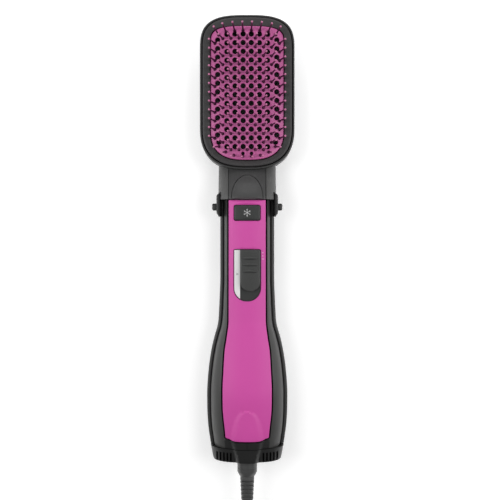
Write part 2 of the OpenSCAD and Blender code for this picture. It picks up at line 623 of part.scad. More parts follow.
front_housing();
rear_housing();
front_cover();
inlet_cap();
outlet_spigot();
switch_tray();
indicator_strip();
slider_knob();
switch_body();
cool_button();
cool_spring();
cool_switch();
circuit_board();
lead_wires();
motor_mount();
motor_can();
motor_shaft();
impeller();
heater_tube();
heater_boards();
heater_coil();
thermostat();
thermal_fuse();
latch_left();
latch_right();
latch_spring_left();
latch_spring_right();
housing_screws();
neck_sleeve();
neck_trim();
head_rear_shell();
head_frame();
head_screws();
bristle_pad();
bristle_edge_left();
bristle_edge_right();
bristle_arc_top();
bristle_arc_bottom();
swivel_socket();
swivel_collar();
strain_relief();
power_cord();
cord_coil();
cord_tail();
cord_tie();
plug_body();
plug_blades();
for (k = [1:ROWS]) bristle_row(k);
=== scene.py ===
import math

import bmesh
import bpy
import numpy as np
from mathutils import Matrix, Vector
from mathutils.geometry import delaunay_2d_cdt


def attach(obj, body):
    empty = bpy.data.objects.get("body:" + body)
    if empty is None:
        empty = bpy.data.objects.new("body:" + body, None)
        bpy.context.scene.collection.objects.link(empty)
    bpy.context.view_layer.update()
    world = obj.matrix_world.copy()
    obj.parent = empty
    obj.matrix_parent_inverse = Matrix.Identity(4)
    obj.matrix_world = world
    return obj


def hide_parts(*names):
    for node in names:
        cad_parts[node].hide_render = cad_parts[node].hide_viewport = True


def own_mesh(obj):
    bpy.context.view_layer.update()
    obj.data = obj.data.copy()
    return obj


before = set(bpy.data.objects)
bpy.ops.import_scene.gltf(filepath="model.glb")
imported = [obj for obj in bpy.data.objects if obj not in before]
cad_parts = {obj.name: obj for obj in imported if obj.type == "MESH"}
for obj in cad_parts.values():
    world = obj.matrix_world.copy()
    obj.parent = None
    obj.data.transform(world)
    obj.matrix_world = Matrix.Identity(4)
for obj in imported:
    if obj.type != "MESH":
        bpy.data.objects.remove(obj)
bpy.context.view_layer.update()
MM = 0.001

# ---- Camera, light and floor ----

VIEW_WIDTH = 375 * MM              # width seen at the height of the front faces
VIEW_CENTRE = (2.1 * MM, -4.5 * MM)
FACE_Z = 36 * MM                   # height at which the scale above holds
LENS = 62.0
SENSOR = 36.0


def aim(obj, target):
    direction = Vector(target) - obj.location
    obj.rotation_euler = direction.to_track_quat("-Z", "Y").to_euler()


def add_object(name, data):
    obj = bpy.data.objects.new(name, data)
    bpy.context.collection.objects.link(obj)
    return obj


def add_camera():
    data = bpy.data.cameras.new("camera")
    data.lens = LENS
    data.sensor_width = SENSOR
    data.clip_start = 0.01
    cam = add_object("camera", data)
    distance = VIEW_WIDTH * LENS / SENSOR
    cam.location = (*VIEW_CENTRE, FACE_Z + distance)
    bpy.context.scene.camera = cam


# (name, place and aim in m, width, height, power)
LAMPS = [
    ("left_bank", (-0.62, 0.05, 0.55), (0, 0, 0.03), 0.35, 1.1, 4.7),
    ("right_bank", (0.62, 0.05, 0.55), (0, 0, 0.03), 0.35, 1.1, 4.7),
    ("back_bank", (0.0, 0.75, 0.5), (0, 0.05, 0.03), 0.6, 0.3, 2.2),
]


def add_studio():
    for name, place, target, width, height, power in LAMPS:
        data = bpy.data.lights.new(name, "AREA")
        data.energy = power
        data.shape = "RECTANGLE"
        data.size = width
        data.size_y = height
        lamp = add_object(name, data)
        lamp.location = place
        aim(lamp, target)
    world = bpy.data.worlds.new("studio")
    world.use_nodes = True
    background = world.node_tree.nodes["Background"]
    background.inputs["Color"].default_value = (1.0, 1.0, 1.0, 1.0)
    background.inputs["Strength"].default_value = 0.3
    bpy.context.scene.world = world
    bpy.context.scene.view_settings.view_transform = "Standard"


# ---- Materials ----

class Shader:
    """A material and short ways to add nodes to it."""

    def __init__(self, name):
        self.material = bpy.data.materials.new(name)
        self.material.use_nodes = True
        self.tree = self.material.node_tree
        self.bsdf = self.tree.nodes["Principled BSDF"]
        self.coord = self.tree.nodes.new("ShaderNodeTexCoord").outputs["Object"]

    def node(self, kind, **inputs):
        made = self.tree.nodes.new(kind)
        for key, value in inputs.items():
            socket = made.inputs[key.replace("_", " ")]
            if isinstance(value, bpy.types.NodeSocket):
                self.tree.links.new(value, socket)
            else:
                socket.default_value = value
        return made

    def noise(self, scale, detail=3.0, stretch=None):
        vector = self.coord
        if stretch:
            vector = self.node("ShaderNodeMapping", Vector=self.coord, Scale=stretch).outputs["Vector"]
        return self.node("ShaderNodeTexNoise", Vector=vector, Scale=scale, Detail=detail).outputs["Fac"]

    def ramp(self, factor, stops):
        made = self.node("ShaderNodeValToRGB", Fac=factor)
        elements = made.color_ramp.elements
        while len(elements) < len(stops):
            elements.new(0.5)
        for element, (place, color) in zip(elements, stops):
            element.position = place
            element.color = (*color, 1.0)
        return made.outputs["Color"]

    def span(self, factor, low, high, source=(0.3, 0.7)):
        made = self.node("ShaderNodeMapRange", Value=factor, From_Min=source[0], From_Max=source[1],
                         To_Min=low, To_Max=high)
        return made.outputs["Result"]

    def bump(self, height, strength, distance, **under):
        """A bump, over the one given as Normal if there is one."""
        made = self.node("ShaderNodeBump", Height=height, Strength=strength, Distance=distance, **under)
        return made.outputs["Normal"]

    def wave(self, vector, scale):
        return self.node("ShaderNodeTexWave", Vector=vector, Scale=scale).outputs["Fac"]

    def link(self, value, name):
        self.tree.links.new(value, self.bsdf.inputs[name])

    def color(self, factor, stops):
        self.link(self.ramp(factor, stops), "Base Color")

    def set(self, name, value):
        self.bsdf.inputs[name].default_value = value


def grey(value):
    return (value, value, value)


def shade(color, factor):
    return tuple(min(1.0, c * factor) for c in color)


def plastic(name, color, rough, grain=2600.0, depth=0.05, tint=0.08, shine=0.5, subsurface=0.0):
    """Moulded plastic: spark-eroded grain, slight cloudiness of colour and handling marks in the gloss."""
    s = Shader(name)
    cloud = s.noise(22.0, 4.0)
    s.color(cloud, [(0.25, shade(color, 1 - tint)), (0.75, shade(color, 1 + tint))])
    wipe = s.noise(60.0, 5.0, stretch=(1.0, 0.25, 1.0))
    s.link(s.span(wipe, rough - 0.05, rough + 0.06), "Roughness")
    fine = s.noise(grain, 2.0)
    broad = s.noise(150.0, 2.0)
    s.link(s.bump(fine, depth, 0.00012, Normal=s.bump(broad, 0.02, 0.0004)), "Normal")
    s.set("Specular IOR Level", shine)
    if subsurface:
        s.set("Subsurface Weight", subsurface)
        s.set("Subsurface Radius", (0.004, 0.002, 0.002))
        s.set("Subsurface Scale", 0.5)
    return s.material


def metal(name, color, rough, stretch=(1.0, 1.0, 1.0), scale=900.0):
    s = Shader(name)
    s.set("Metallic", 1.0)
    streak = s.noise(scale, 4.0, stretch=stretch)
    s.color(streak, [(0.3, shade(color, 0.82)), (0.7, color)])
    s.link(s.span(streak, rough - 0.08, rough + 0.1), "Roughness")
    s.link(s.bump(streak, 0.12, 0.00005), "Normal")
    return s.material


def rubber(name, color, rough=0.55):
    s = Shader(name)
    dust = s.noise(45.0, 6.0)
    s.color(dust, [(0.35, color), (0.8, shade(color, 1.7))])
    s.link(s.span(dust, rough - 0.06, rough + 0.08), "Roughness")
    s.link(s.bump(s.noise(1500.0, 3.0), 0.12, 0.0001), "Normal")
    return s.material


def board_material():
    s = Shader("solder_mask")
    dots = s.node("ShaderNodeTexVoronoi", Vector=s.coord, Scale=420.0).outputs["Distance"]
    solder, mask, edge = (0.55, 0.5, 0.35), (0.02, 0.16, 0.06), (0.03, 0.22, 0.08)
    s.color(dots, [(0.12, solder), (0.18, mask), (1.0, edge)])
    s.set("Roughness", 0.3)
    return s.material


def mica_material():
    s = Shader("mica")
    colors = s.node("ShaderNodeTexVoronoi", Vector=s.coord, Scale=380.0).outputs["Color"]
    flake = s.node("ShaderNodeRGBToBW", Color=colors).outputs["Val"]
    s.color(flake, [(0.2, (0.42, 0.34, 0.2)), (0.8, (0.62, 0.54, 0.38))])
    s.link(s.span(flake, 0.3, 0.6), "Roughness")
    return s.material


def strap_material():
    s = Shader("woven_strap")
    weave = s.wave(s.coord, 900.0)
    s.color(weave, [(0.3, grey(0.02)), (0.7, grey(0.06))])
    s.link(s.bump(weave, 0.5, 0.0002), "Normal")
    s.set("Roughness", 0.85)
    return s.material


def screen_material():
    """Fine black gauze."""
    s = Shader("lint_screen")
    under = {}
    for axis in ((1.0, 0.0, 0.0), (0.0, 1.0, 0.0)):
        turned = s.node("ShaderNodeMapping", Vector=s.coord, Scale=axis).outputs["Vector"]
        under = {"Normal": s.bump(s.wave(turned, 320.0), 0.8, 0.0003, **under)}
    s.link(under["Normal"], "Normal")
    s.color(s.noise(300.0), [(0.3, grey(0.006)), (0.7, grey(0.014))])
    s.set("Roughness", 0.8)
    s.set("Specular IOR Level", 0.1)
    return s.material


def pin_material():
    """Nylon pins: deep plum at the foot, paler and redder towards the tip."""
    s = Shader("bristle_nylon")
    height = s.node("ShaderNodeSeparateXYZ", Vector=s.coord).outputs["Z"]
    along = s.span(height, 0.0, 1.0, source=(0.037, 0.051))
    foot, middle, tip = (0.022, 0.001, 0.013), (0.040, 0.003, 0.025), (0.15, 0.022, 0.085)
    s.color(along, [(0.0, foot), (0.5, middle), (1.0, tip)])
    s.link(s.span(s.noise(200.0), 0.28, 0.4), "Roughness")
    s.link(s.bump(s.noise(2400.0, 2.0), 0.04, 0.0001), "Normal")
    return s.material


PINK = (0.505, 0.061, 0.298)
M = {
    "front_housing": plastic("housing_grey", (0.030, 0.030, 0.029), 0.42, tint=0.06, shine=0.32),
    "rear_housing": plastic("housing_black", grey(0.029), 0.42, tint=0.08, shine=0.3),
    "head_grey": plastic("head_grey", (0.036, 0.034, 0.035), 0.45, tint=0.06, shine=0.3),
    "neck_grey": plastic("neck_grey", (0.072, 0.072, 0.071), 0.45, tint=0.05, shine=0.28),
    "neck_trim": plastic("neck_trim", grey(0.046), 0.45, tint=0.05, shine=0.28),
    "pink_cover": plastic("cover_pink", PINK, 0.5, grain=1800.0, depth=0.03, tint=0.03, shine=0.3),
    "pad_pink": plastic("pad_pink", (0.46, 0.085, 0.27), 0.42, grain=1800.0, depth=0.05, tint=0.05),
    # The vents' walls: near-black plum as painted shade inside the pad's holes.
    "vent_wall_painted_shade": plastic("vent_wall_painted_shade", (0.030, 0.006, 0.018), 0.6, tint=0.2),
    "bristle_plum": pin_material(),
    "tip_pink": plastic("tip_pink", (0.42, 0.125, 0.25), 0.35, tint=0.06, subsurface=0.1),
    "black_trim": plastic("trim_black", grey(0.008), 0.40, tint=0.1, shine=0.35),
    "control_grey": plastic("control_grey", (0.022, 0.024, 0.023), 0.45, tint=0.06, shine=0.35),
    "slider_grey": plastic("slider_grey", (0.030, 0.031, 0.030), 0.42, tint=0.05, shine=0.4),
    "white": plastic("mark_white", grey(0.66), 0.45, tint=0.03),
    "mark_light": plastic("mark_light", grey(0.52), 0.45, tint=0.03),
    "mark_pink": plastic("mark_pink", (0.66, 0.34, 0.52), 0.45, tint=0.03),
    "mark_grey": plastic("mark_grey", grey(0.18), 0.45, tint=0.03),
    "spring_steel": metal("spring_steel", (0.62, 0.62, 0.63), 0.3),
    "motor_steel": metal("motor_steel", grey(0.5), 0.35, stretch=(1.0, 0.05, 1.0)),
    "heater_wire": metal("heater_wire", (0.28, 0.24, 0.22), 0.5),
    "plug_blade": metal("plug_blade", (0.72, 0.66, 0.5), 0.28, stretch=(1.0, 0.1, 1.0)),
    "fan_plastic": plastic("fan_plastic", grey(0.42), 0.5, tint=0.12),
    "lead_wire": rubber("lead_insulation", grey(0.25)),
    "collar_grey": plastic("collar_grey", grey(0.044), 0.34, tint=0.06, shine=0.6),
    "relief_rubber": rubber("relief_rubber", grey(0.043), 0.45),
    "cord_rubber": rubber("cord_rubber", grey(0.017), 0.45),
    "circuit_board": board_material(),
    "mica": mica_material(),
    "cord_tie": strap_material(),
    "screen": screen_material(),
}

# ---- Making pieces ----

WELD = 0.01 * MM                   # points closer than this become one
CREASE = 32.0                      # edges sharper than this stay crisp, in degrees


def finish_piece(obj, body, nodes, materials):
    for key in materials:
        obj.data.materials.append(M[key])
    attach(obj, body)
    if nodes:
        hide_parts(*nodes)
    return obj


def join_parts(name, parts, weld):
    """One mesh from a list of (points in mm, faces, material number), its doubles welded if asked."""
    points, faces, numbers = [], [], []
    for part_points, part_faces, number in parts:
        start = len(points)
        points += [tuple(float(c) * MM for c in p) for p in part_points]
        faces += [tuple(start + i for i in f) for f in part_faces]
        numbers += [number] * len(part_faces)
    mesh = bpy.data.meshes.new(name)
    mesh.from_pydata(points, [], faces)
    mesh.polygons.foreach_set("material_index", numbers)
    bm = bmesh.new()
    bm.from_mesh(mesh)
    if weld:
        bmesh.ops.remove_doubles(bm, verts=bm.verts, dist=WELD)
        bmesh.ops.dissolve_degenerate(bm, edges=bm.edges, dist=WELD / 4)
    bmesh.ops.recalc_face_normals(bm, faces=bm.faces)
    bm.to_mesh(mesh)
    bm.free()
    return mesh


def shade_smooth(mesh, angle):
    """Smooth shading, with creases where faces meet at more than angle."""
    mesh.shade_smooth()
    mesh.set_sharp_from_angle(angle=math.radians(angle))


def mesh_piece(name, parts, body, nodes, slot, materials=None, angle=CREASE):
    """A piece from its parts, in the material named like its slot unless others are given."""
    mesh = join_parts(name, parts, weld=True)
    shade_smooth(mesh, angle)
    return finish_piece(add_object(name, mesh), body, nodes, materials or [slot])


def cut(obj, parts):
    """Takes the closed solids in parts out of obj, for good."""
    mesh = join_parts("cutter", parts, weld=False)
    cutter = add_object("cutter", mesh)
    modifier = obj.modifiers.new("cut", "BOOLEAN")
    modifier.operation = "DIFFERENCE"
    modifier.solver = "EXACT"
    modifier.object = cutter
    result = bpy.data.meshes.new_from_object(obj.evaluated_get(bpy.context.evaluated_depsgraph_get()))
    obj.modifiers.clear()
    old = obj.data
    result.name = old.name + "_cut"
    obj.data = result
    bpy.data.meshes.remove(old)
    bpy.data.objects.remove(cutter)
    bpy.data.meshes.remove(mesh)
    shade_smooth(obj.data, CREASE)


def grid_faces(rows, columns, wrap_rows=False, wrap_columns=False):
    faces = []
    for i in range(rows if wrap_rows else rows - 1):
        for j in range(columns if wrap_columns else columns - 1):
            k, m = (i + 1) % rows, (j + 1) % columns
            faces.append((i * columns + j, i * columns + m, k * columns + m, k * columns + j))
    return faces


def sweep(loops, number=0, closed=False):
    """Solid through closed loops of equal length, capped at both ends unless closed on itself."""
    rows, columns = len(loops), len(loops[0])
    faces = grid_faces(rows, columns, wrap_rows=closed, wrap_columns=True)
    if not closed:
        faces.append(tuple(range(columns)))
        faces.append(tuple((rows - 1) * columns + j for j in range(columns)))
    return [p for loop in loops for p in loop], faces, number


def prism(outline, z0, z1):
    """Upright prism."""
    return sweep([[(x, y, z) for x, y in outline] for z in (z0, z1)])


def draped(outline, top, low, high):
    """Thin solid over an outline, from low to high above the height function top."""
    return sweep([[(x, y, top(x, y) + lift) for x, y in outline] for lift in (low, high)])


def lathe(profile, centre, axis="y", sides=64):
    """Solid of revolution from (along, radius) pairs, about a line along Y or Z."""
    x, y, z = centre
    loops = []
    for along, radius in profile:
        ring = circle(0, 0, radius, sides)
        if axis == "y":
            loops.append([(x + u, y + along, z + v) for u, v in ring])
        else:
            loops.append([(x + u, y + v, z + along) for u, v in ring])
    return sweep(loops)


def offset(outline, amount):
    """The outline with each point moved outwards (anticlockwise outlines) by amount."""
    pts = np.array(outline, float)
    ahead, behind = np.roll(pts, -1, 0), np.roll(pts, 1, 0)
    edge = ahead - behind
    normal = np.stack([edge[:, 1], -edge[:, 0]], 1)
    normal /= np.maximum(np.linalg.norm(normal, axis=1, keepdims=True), 1e-9)
    return [tuple(p) for p in pts + normal * amount]


def inside(points, outline):
    """Which points lie inside the outline."""
    pts, ring = np.asarray(points, float), np.asarray(outline, float)
    x, y = pts[:, 0:1], pts[:, 1:2]
    x0, y0 = ring[:, 0], ring[:, 1]
    x1, y1 = np.roll(x0, -1), np.roll(y0, -1)
    crosses = (y0 > y) != (y1 > y)
    with np.errstate(divide="ignore", invalid="ignore"):
        at_x = (x1 - x0) * (y - y0) / (y1 - y0) + x0
    return (np.sum(crosses & (x < at_x), axis=1) % 2) == 1


def triangulate(outline, holes, spacing):
    """Triangles over the outline less its holes, with inner points spacing apart."""
    points = [tuple(p) for p in outline]
    edges = [(i, (i + 1) % len(points)) for i in range(len(points))]
    for hole in holes:
        start, n = len(points), len(hole)
        points += [tuple(p) for p in hole]
        edges += [(start + i, start + (i + 1) % n) for i in range(n)]
    border = np.array(points)
    low, high = border.min(0), border.max(0)
    xs = np.arange(low[0] + spacing / 2, high[0], spacing)
    ys = np.arange(low[1] + spacing / 2, high[1], spacing)
    lattice = np.array([(x + (spacing / 2 if i % 2 else 0), y) for i, y in enumerate(ys) for x in xs])
    keep = inside(lattice, outline)
    for hole in holes:
        keep &= ~inside(lattice, hole)
    lattice = lattice[keep]
    near = np.ones(len(lattice), bool)
    for start in range(0, len(lattice), 2000):
        block = lattice[start:start + 2000]
        distance = np.linalg.norm(block[:, None, :] - border[None, :, :], axis=2).min(1)
        near[start:start + 2000] = distance > spacing * 0.45
    points += [tuple(p) for p in lattice[near]]
    verts, _, faces, _, _, _ = delaunay_2d_cdt([Vector(p) for p in points], edges, [], 0, 1e-6)
    flat = np.array([tuple(v) for v in verts])
    faces = np.array([f for f in faces if len(f) == 3])
    middle = flat[faces].mean(1)
    keep = inside(middle, outline)
    for hole in holes:
        keep &= ~inside(middle, hole)
    return flat, faces[keep]


def panel(outline, holes, top, thickness, spacing, edge=0.5, hole_edge=0.4, steps=4, hole_number=0):
    """A sheet that follows the height function top, with rounded edges round its outline and its holes.

    hole_number is the material number of the holes' walls.
    """
    inner = offset(outline, -edge)
    outer_holes = [offset(h, hole_edge) for h in holes]
    flat, tris = triangulate(inner, outer_holes, spacing)
    upper = [(x, y, top(x, y)) for x, y in flat]
    lower = [(x, y, top(x, y) - thickness) for x, y in flat]
    parts = [(upper, [tuple(f) for f in tris], 0), (lower, [tuple(f[::-1]) for f in tris], 0)]

    def skirt(start, reach, direction):
        loops = []
        for k in range(steps + 1):
            a = math.pi / 2 * k / steps
            shift = direction * reach * math.sin(a)
            ring = start if k == 0 else offset(start, shift)
            loops.append([(x, y, top(x0, y0) - reach * (1 - math.cos(a)))
                          for (x, y), (x0, y0) in zip(ring, start)])
        loops.append([(x, y, top(x0, y0) - thickness) for (x, y, _), (x0, y0) in zip(loops[-1], start)])
        loops.append([(x, y, top(x, y) - thickness) for x, y in start])
        points = [p for loop in loops for p in loop]
        return points, grid_faces(len(loops), len(start), wrap_columns=True)

    parts.append((*skirt(inner, edge, 1), 0))
    for wide in outer_holes:
        points, faces = skirt(wide, hole_edge, -1)
        rounding = steps * len(wide)
        parts.append((points, faces[:rounding], 0))
        parts.append((points, faces[rounding:], hole_number))
    return parts


def arc(cx, cy, r, a0, a1, n=10):
    return [(cx + r * math.cos(math.radians(a0 + (a1 - a0) * i / n)),
             cy + r * math.sin(math.radians(a0 + (a1 - a0) * i / n))) for i in range(n + 1)]


def rect_outline(x0, x1, y0, y1, rt, rb, n=10):
    return (arc(x1 - rt, y1 - rt, rt, 0, 90, n) + arc(x0 + rt, y1 - rt, rt, 90, 180, n)
            + arc(x0 + rb, y0 + rb, rb, 180, 270, n) + arc(x1 - rb, y0 + rb, rb, 270, 360, n))


def carpet(xs, ys, top, depth):
    """Cutter over a grid of places, from depth below the height function top to well above it."""
    rise = 6.0
    loops = []
    for y in ys:
        under = [(x, y, top(x, y) - depth) for x in xs]
        loops.append(under + [(x, y, top(x, y) + rise) for x in xs[::-1]])
    return sweep(loops)


def circle(x, y, r, n):
    return [(x + r * math.cos(2 * math.pi * i / n), y + r * math.sin(2 * math.pi * i / n)) for i in range(n)]


# ---- The brush's curves, in mm, as the CAD part has them ----

SQ = 2.5
HEAD_TOP = 172.8
SEAM = 33.0                        # the handle's front end
CAP_Y = -151.5                     # where the end cap starts
RIM_STEP = 3.0                     # the front housing stands this far inside the rear one's rim
EXIT_Z = 30.0                      # height of the cord's exit
AIR_Z = 21.15                      # height of the spigot's centreline
# (y, half width, low z, high z) at stations along the handle and the neck
HANDLE = np.array([
    [34, 20.6, 5, 42], [-25, 20.6, 5, 42], [-40, 21.1, 4.7, 42.3], [-57, 21.95, 4, 43],
    [-62, 22.7, 3.6, 43.7], [-69, 24.7, 3, 45], [-80, 27.3, 1.5, 47], [-92, 29.1, 0, 49],
    [-104, 30.2, -0.7, 50.5], [-113, 30.6, -0.7, 51], [-125, 30.5, -0.7, 50.5],
    [-136, 29.9, 0.5, 49.5], [-148, 28.3, 2.8, 47.5], [-156, 26.9, 4.2, 45.5],
    [-162, 25.6, 5.6, 43.6], [-164.6, 22, 8, 41]])
NECK = np.array([[68, 21.9, 3, 26], [60, 22, 2.6, 28.5], [52, 22, 3.2, 33.5],
                 [44, 22, 4.2, 38.5], [33.4, 22, 5, 42]])
# (y, half width) of the cover and of the cord's boss
COVER = np.array([[33, 13.8], [-57, 13.8], [-69, 15.1], [-80, 16.7], [-94, 17.5], [-108, 18.1],
                  [-120, 18], [-145, 16]])
BOSS = np.array([[-122.9, 0.0], [-124.2, 4.6], [-127.6, 7.8], [-133, 10.2], [-143, 12.2], [-148, 11.6],
                 [-163, 8.2]])


def at(table, y, k):
    """Monotone cubic through column k of a station table whose y runs downwards."""
    t = table[:, 0]
    if y >= t[0]:
        return float(table[0, k])
    if y <= t[-1]:
        return float(table[-1, k])
    i = int(np.searchsorted(-t, -y, side="right")) - 1
    i = min(max(i, 0), len(t) - 2)
    secants = np.diff(table[:, k]) / np.diff(t)

    def tangent(j):
        if j == 0 or j == len(t) - 1:
            return 0.0
        p, q = secants[j - 1], secants[j]
        return 0.0 if p * q <= 0 else 2 * p * q / (p + q)

    d = t[i + 1] - t[i]
    u = (y - t[i]) / d
    return float((2 * u**3 - 3 * u**2 + 1) * table[i, k] + (u**3 - 2 * u**2 + u) * d * tangent(i)
                 + (3 * u**2 - 2 * u**3) * table[i + 1, k] + (u**3 - u**2) * d * tangent(i + 1))


def signed_power(v, p):
    return math.copysign(abs(v) ** p, v)


def section(table, y, degrees, inset_x=0.0, inset_z=None):
    """Point of the rounded cross-section at y."""
    inset_z = inset_x if inset_z is None else inset_z
    low, high = at(table, y, 2), at(table, y, 3)
    a = math.radians(degrees)
    return ((at(table, y, 1) - inset_x) * signed_power(math.cos(a), 2 / SQ), y,
            (low + high) / 2 + ((high - low) / 2 - inset_z) * signed_power(math.sin(a), 2 / SQ))


def top_height(table, x, y, inset_x=0.0):
    low, high = at(table, y, 2), at(table, y, 3)
    ratio = min(0.999, abs(x) / (at(table, y, 1) - inset_x))
    return (low + high) / 2 + (high - low) / 2 * (1 - ratio ** SQ) ** (1 / SQ)


def smooth(t):
    t = min(1.0, max(0.0, t))
    return t * t * (3 - 2 * t)


def boss_rise(x, y):
    """Height of the ridge that the cord's boss raises on the front of the handle."""
    if y > BOSS[0, 0]:
        return 0.0
    ratio = abs(x) / max(0.1, at(BOSS, y, 1))
    if ratio >= 1:
        return 0.0
    height = 1.0 + 1.6 * smooth((-y - 124) / 24) + 1.0 * smooth((-y - 150) / 12)
    return height * min(1.0, (1 - ratio) / 0.3) ** 0.8


def rounded(half_width, ends, inset, n):
    """Outline from two half superellipses; each end is (tip, middle, power), the upper one first."""
    points = []
    for start, (tip, middle, power) in zip((0, math.pi), ends):
        for i in range(n + 1):
            a = start + math.pi * i / n
            points.append(((half_width - inset) * signed_power(math.cos(a), 2 / power),
                           middle + (abs(tip - middle) - inset) * signed_power(math.sin(a), 2 / power)))
    return points


def head_outline(inset, n=48):
    return rounded(35.7, [(HEAD_TOP, 146, 3.1), (56.3, 88, 2.57)], inset, n)


def pad_outline(inset, n):
    return rounded(27.5, [(163.4, 150, 3.8), (63.2, 86, 2.6)], inset, n)


def cover_outline(grow):
    """The pink cover: curved sides, a small concave step at each lower corner, then a shallow tongue."""
    side = [(at(COVER, y, 1) + grow, y) for y in np.linspace(SEAM - 0.2 + grow, -142.6, 88)]
    step = [(15.8, -143.0), (15.3, -143.4), (14.3, -143.6), (13.4, -143.8), (12.5, -144.3), (11.4, -144.8),
            (9, -145.2), (6, -145.4), (2, -145.5)]
    right = side + [(x + grow * 0.7, y - grow) for x, y in step]
    outline = right + [(-x, y) for x, y in reversed(right)]
    return outline[::-1]


def handle_rows(y0, y1):
    """Stations along the handle, about 1.6 mm apart."""
    return list(np.linspace(y0, y1, int(abs(y1 - y0) / 1.6)))


def tube(table, ys, n, inset=0.0):
    """Solid through n-sided cross-sections at ys, inset all round."""
    return sweep([[section(table, y, 360 * (j + 0.5) / n, inset) for j in range(n)] for y in ys])


# ---- Handle ----

LATCH_Z = 24.0
SCREWS = [(21, -92), (19.8, -135)]
BUTTON = (-9.6, 9.6, 17.6, 28.8)           # x from, x to, y from, y to
RECESS = (-10.2, 10.2, -42.8, -3.9)


def wider(box, gap):
    x0, x1, y0, y1 = box
    return x0 - gap, x1 + gap, y0 - gap, y1 + gap


def box_part(x0, x1, y0, y1, z0, z1):
    x0, x1 = min(x0, x1), max(x0, x1)
    return prism([(x0, y0), (x1, y0), (x1, y1), (x0, y1)], z0, z1)


def latch_recesses():
    """Shallow seats for the latch plates, on both sides."""
    return [box_part(s * 19.4, s * 30, 20.8, 39.0, LATCH_Z - 9.2, LATCH_Z + 9.2) for s in (1, -1)]


def latch_windows():
    """Openings right through the walls for the latches' stems."""
    return [box_part(s * 13.5, s * 30, 20.8, 38.7, LATCH_Z - 7.3, LATCH_Z - 1.5) for s in (1, -1)]


def rear_profile(y, n=56):
    """Closed loop of the rear shell at y: outer surface, rounded rim, inner surface."""
    wall = 3.5
    width = at(HANDLE, y, 1)
    middle = (at(HANDLE, y, 2) + at(HANDLE, y, 3)) / 2
    outer = [section(HANDLE, y, 180 + 180 * i / n) for i in range(n + 1)]
    outer = [(x, yy, max(z, 0.0)) for x, yy, z in outer]
    rim = [(0.04, 0.6), (0.2, 1.1), (0.6, 1.5), (1.2, 1.75), (1.9, 1.85), (2.35, 1.75), (2.6, 1.45),
           (2.66, 0.8), (2.7, -0.8), (wall, -1.0)]
    right = [(width - inset, y, middle + rise) for inset, rise in rim]
    inner = [section(HANDLE, y, 360 - 180 * i / n, wall) for i in range(n + 1)]
    inner = [(x, yy, max(z, wall) if abs(x) < width - wall - 1 else min(z, middle - 1.0)) for x, yy, z in inner]
    left = [(-x, y, z) for x, y, z in reversed(right)]
    return outer + right + inner + left


def build_rear_housing():
    loops = [rear_profile(y) for y in handle_rows(SEAM, CAP_Y)]
    obj = mesh_piece("rear_housing_shell", [sweep(loops)], "handle", ["rear_housing"], "rear_housing")
    wells = [lathe([(-3, 2.8), (8.9, 2.6)], (side * x, y, 0), "z", 40)
             for x, y in SCREWS for side in (1, -1)]
    cut(obj, wells)
    cut(obj, latch_recesses())
    cut(obj, latch_windows())


def front_profile(y, n=30):
    """Closed loop of the front shell at y: side bands, recess for the cover, inner surface."""
    depth = 3.4
    if y > -143.1:
        edge = at(COVER, y, 1) + 1.2
    elif y > -146.3:
        edge = 17.0 * max(0.02, 1 - ((-143.1 - y) / 3.2) ** 1.6) ** 0.45
    else:
        edge, depth = 0.3, 0.35
    rear_width = at(HANDLE, y, 1)
    width = rear_width - RIM_STEP
    limit = math.degrees(math.acos(min(0.999, (edge / width)) ** (SQ / 2)))
    band = [section(HANDLE, y, limit * i / n, RIM_STEP, 0) for i in range(n + 1)]
    right = [(x, yy, z + boss_rise(x, yy)) for x, yy, z in band]
    x1, _, z1 = right[-1]
    corner = [(x1 - 0.12, y, z1 - 0.1), (x1 - 0.18, y, z1 - 0.3), (x1 - 0.18, y, z1 - depth)]
    floor = [(x1 * k / 8, y, top_height(HANDLE, x1 * k / 8, y, RIM_STEP) - depth
              + boss_rise(x1 * k / 8, y)) for k in range(7, -8, -1)]
    left = [(-x, yy, z) for x, yy, z in reversed(right + corner)]
    side_wall, front_wall = 2.4, 5.2
    inner = [section(HANDLE, y, 180 - 180 * i / 48, RIM_STEP + side_wall, front_wall) for i in range(49)]
    middle = (at(HANDLE, y, 2) + at(HANDLE, y, 3)) / 2
    tongue = [(rear_width - 5.4, y, middle - 2.2), (rear_width - 3.7, y, middle - 2.2),
              (rear_width - 3.6, y, middle + 0.1)]
    return tongue + right + corner + floor + left + [(-x, yy, z) for x, yy, z in reversed(tongue)] + inner


def build_front_housing():
    """The front shell; the faces sunk under the cover and the end below the cover take the black material as
    painted shade, for the dark gap beside the cover and the recess round the tongue.
    """
    ys = handle_rows(SEAM, -142.5)
    ys += list(np.linspace(-142.9, -146.1, 16)) + list(np.linspace(-146.4, CAP_Y, 12))
    loops = [front_profile(y) for y in ys]
    obj = mesh_piece("front_housing_shell", [sweep(loops)], "handle", ["front_housing"], "front_housing",
                     ["front_housing", "black_trim"])
    # Painted shade: these faces get the black material so that the recess round the tongue and the gap beside
    # the cover look dark.
    for face in obj.data.polygons:
        x, y, z = face.center / MM
        sunk = z < top_height(HANDLE, x, y, RIM_STEP) - 0.5 and z > 30
        if (y < -143.0 and abs(x) < 16.4) or sunk:
            face.material_index = 1
    openings = [rect_outline(*wider(BUTTON, 0.4), 1.6, 1.6), rect_outline(*RECESS, 1.3, 9.6, 14)]
    cut(obj, [prism(opening, 34, 60) for opening in openings])
    cut(obj, latch_windows())


def cover_top(x, y):
    return top_height(HANDLE, x, y) + 0.15 + boss_rise(x, y)


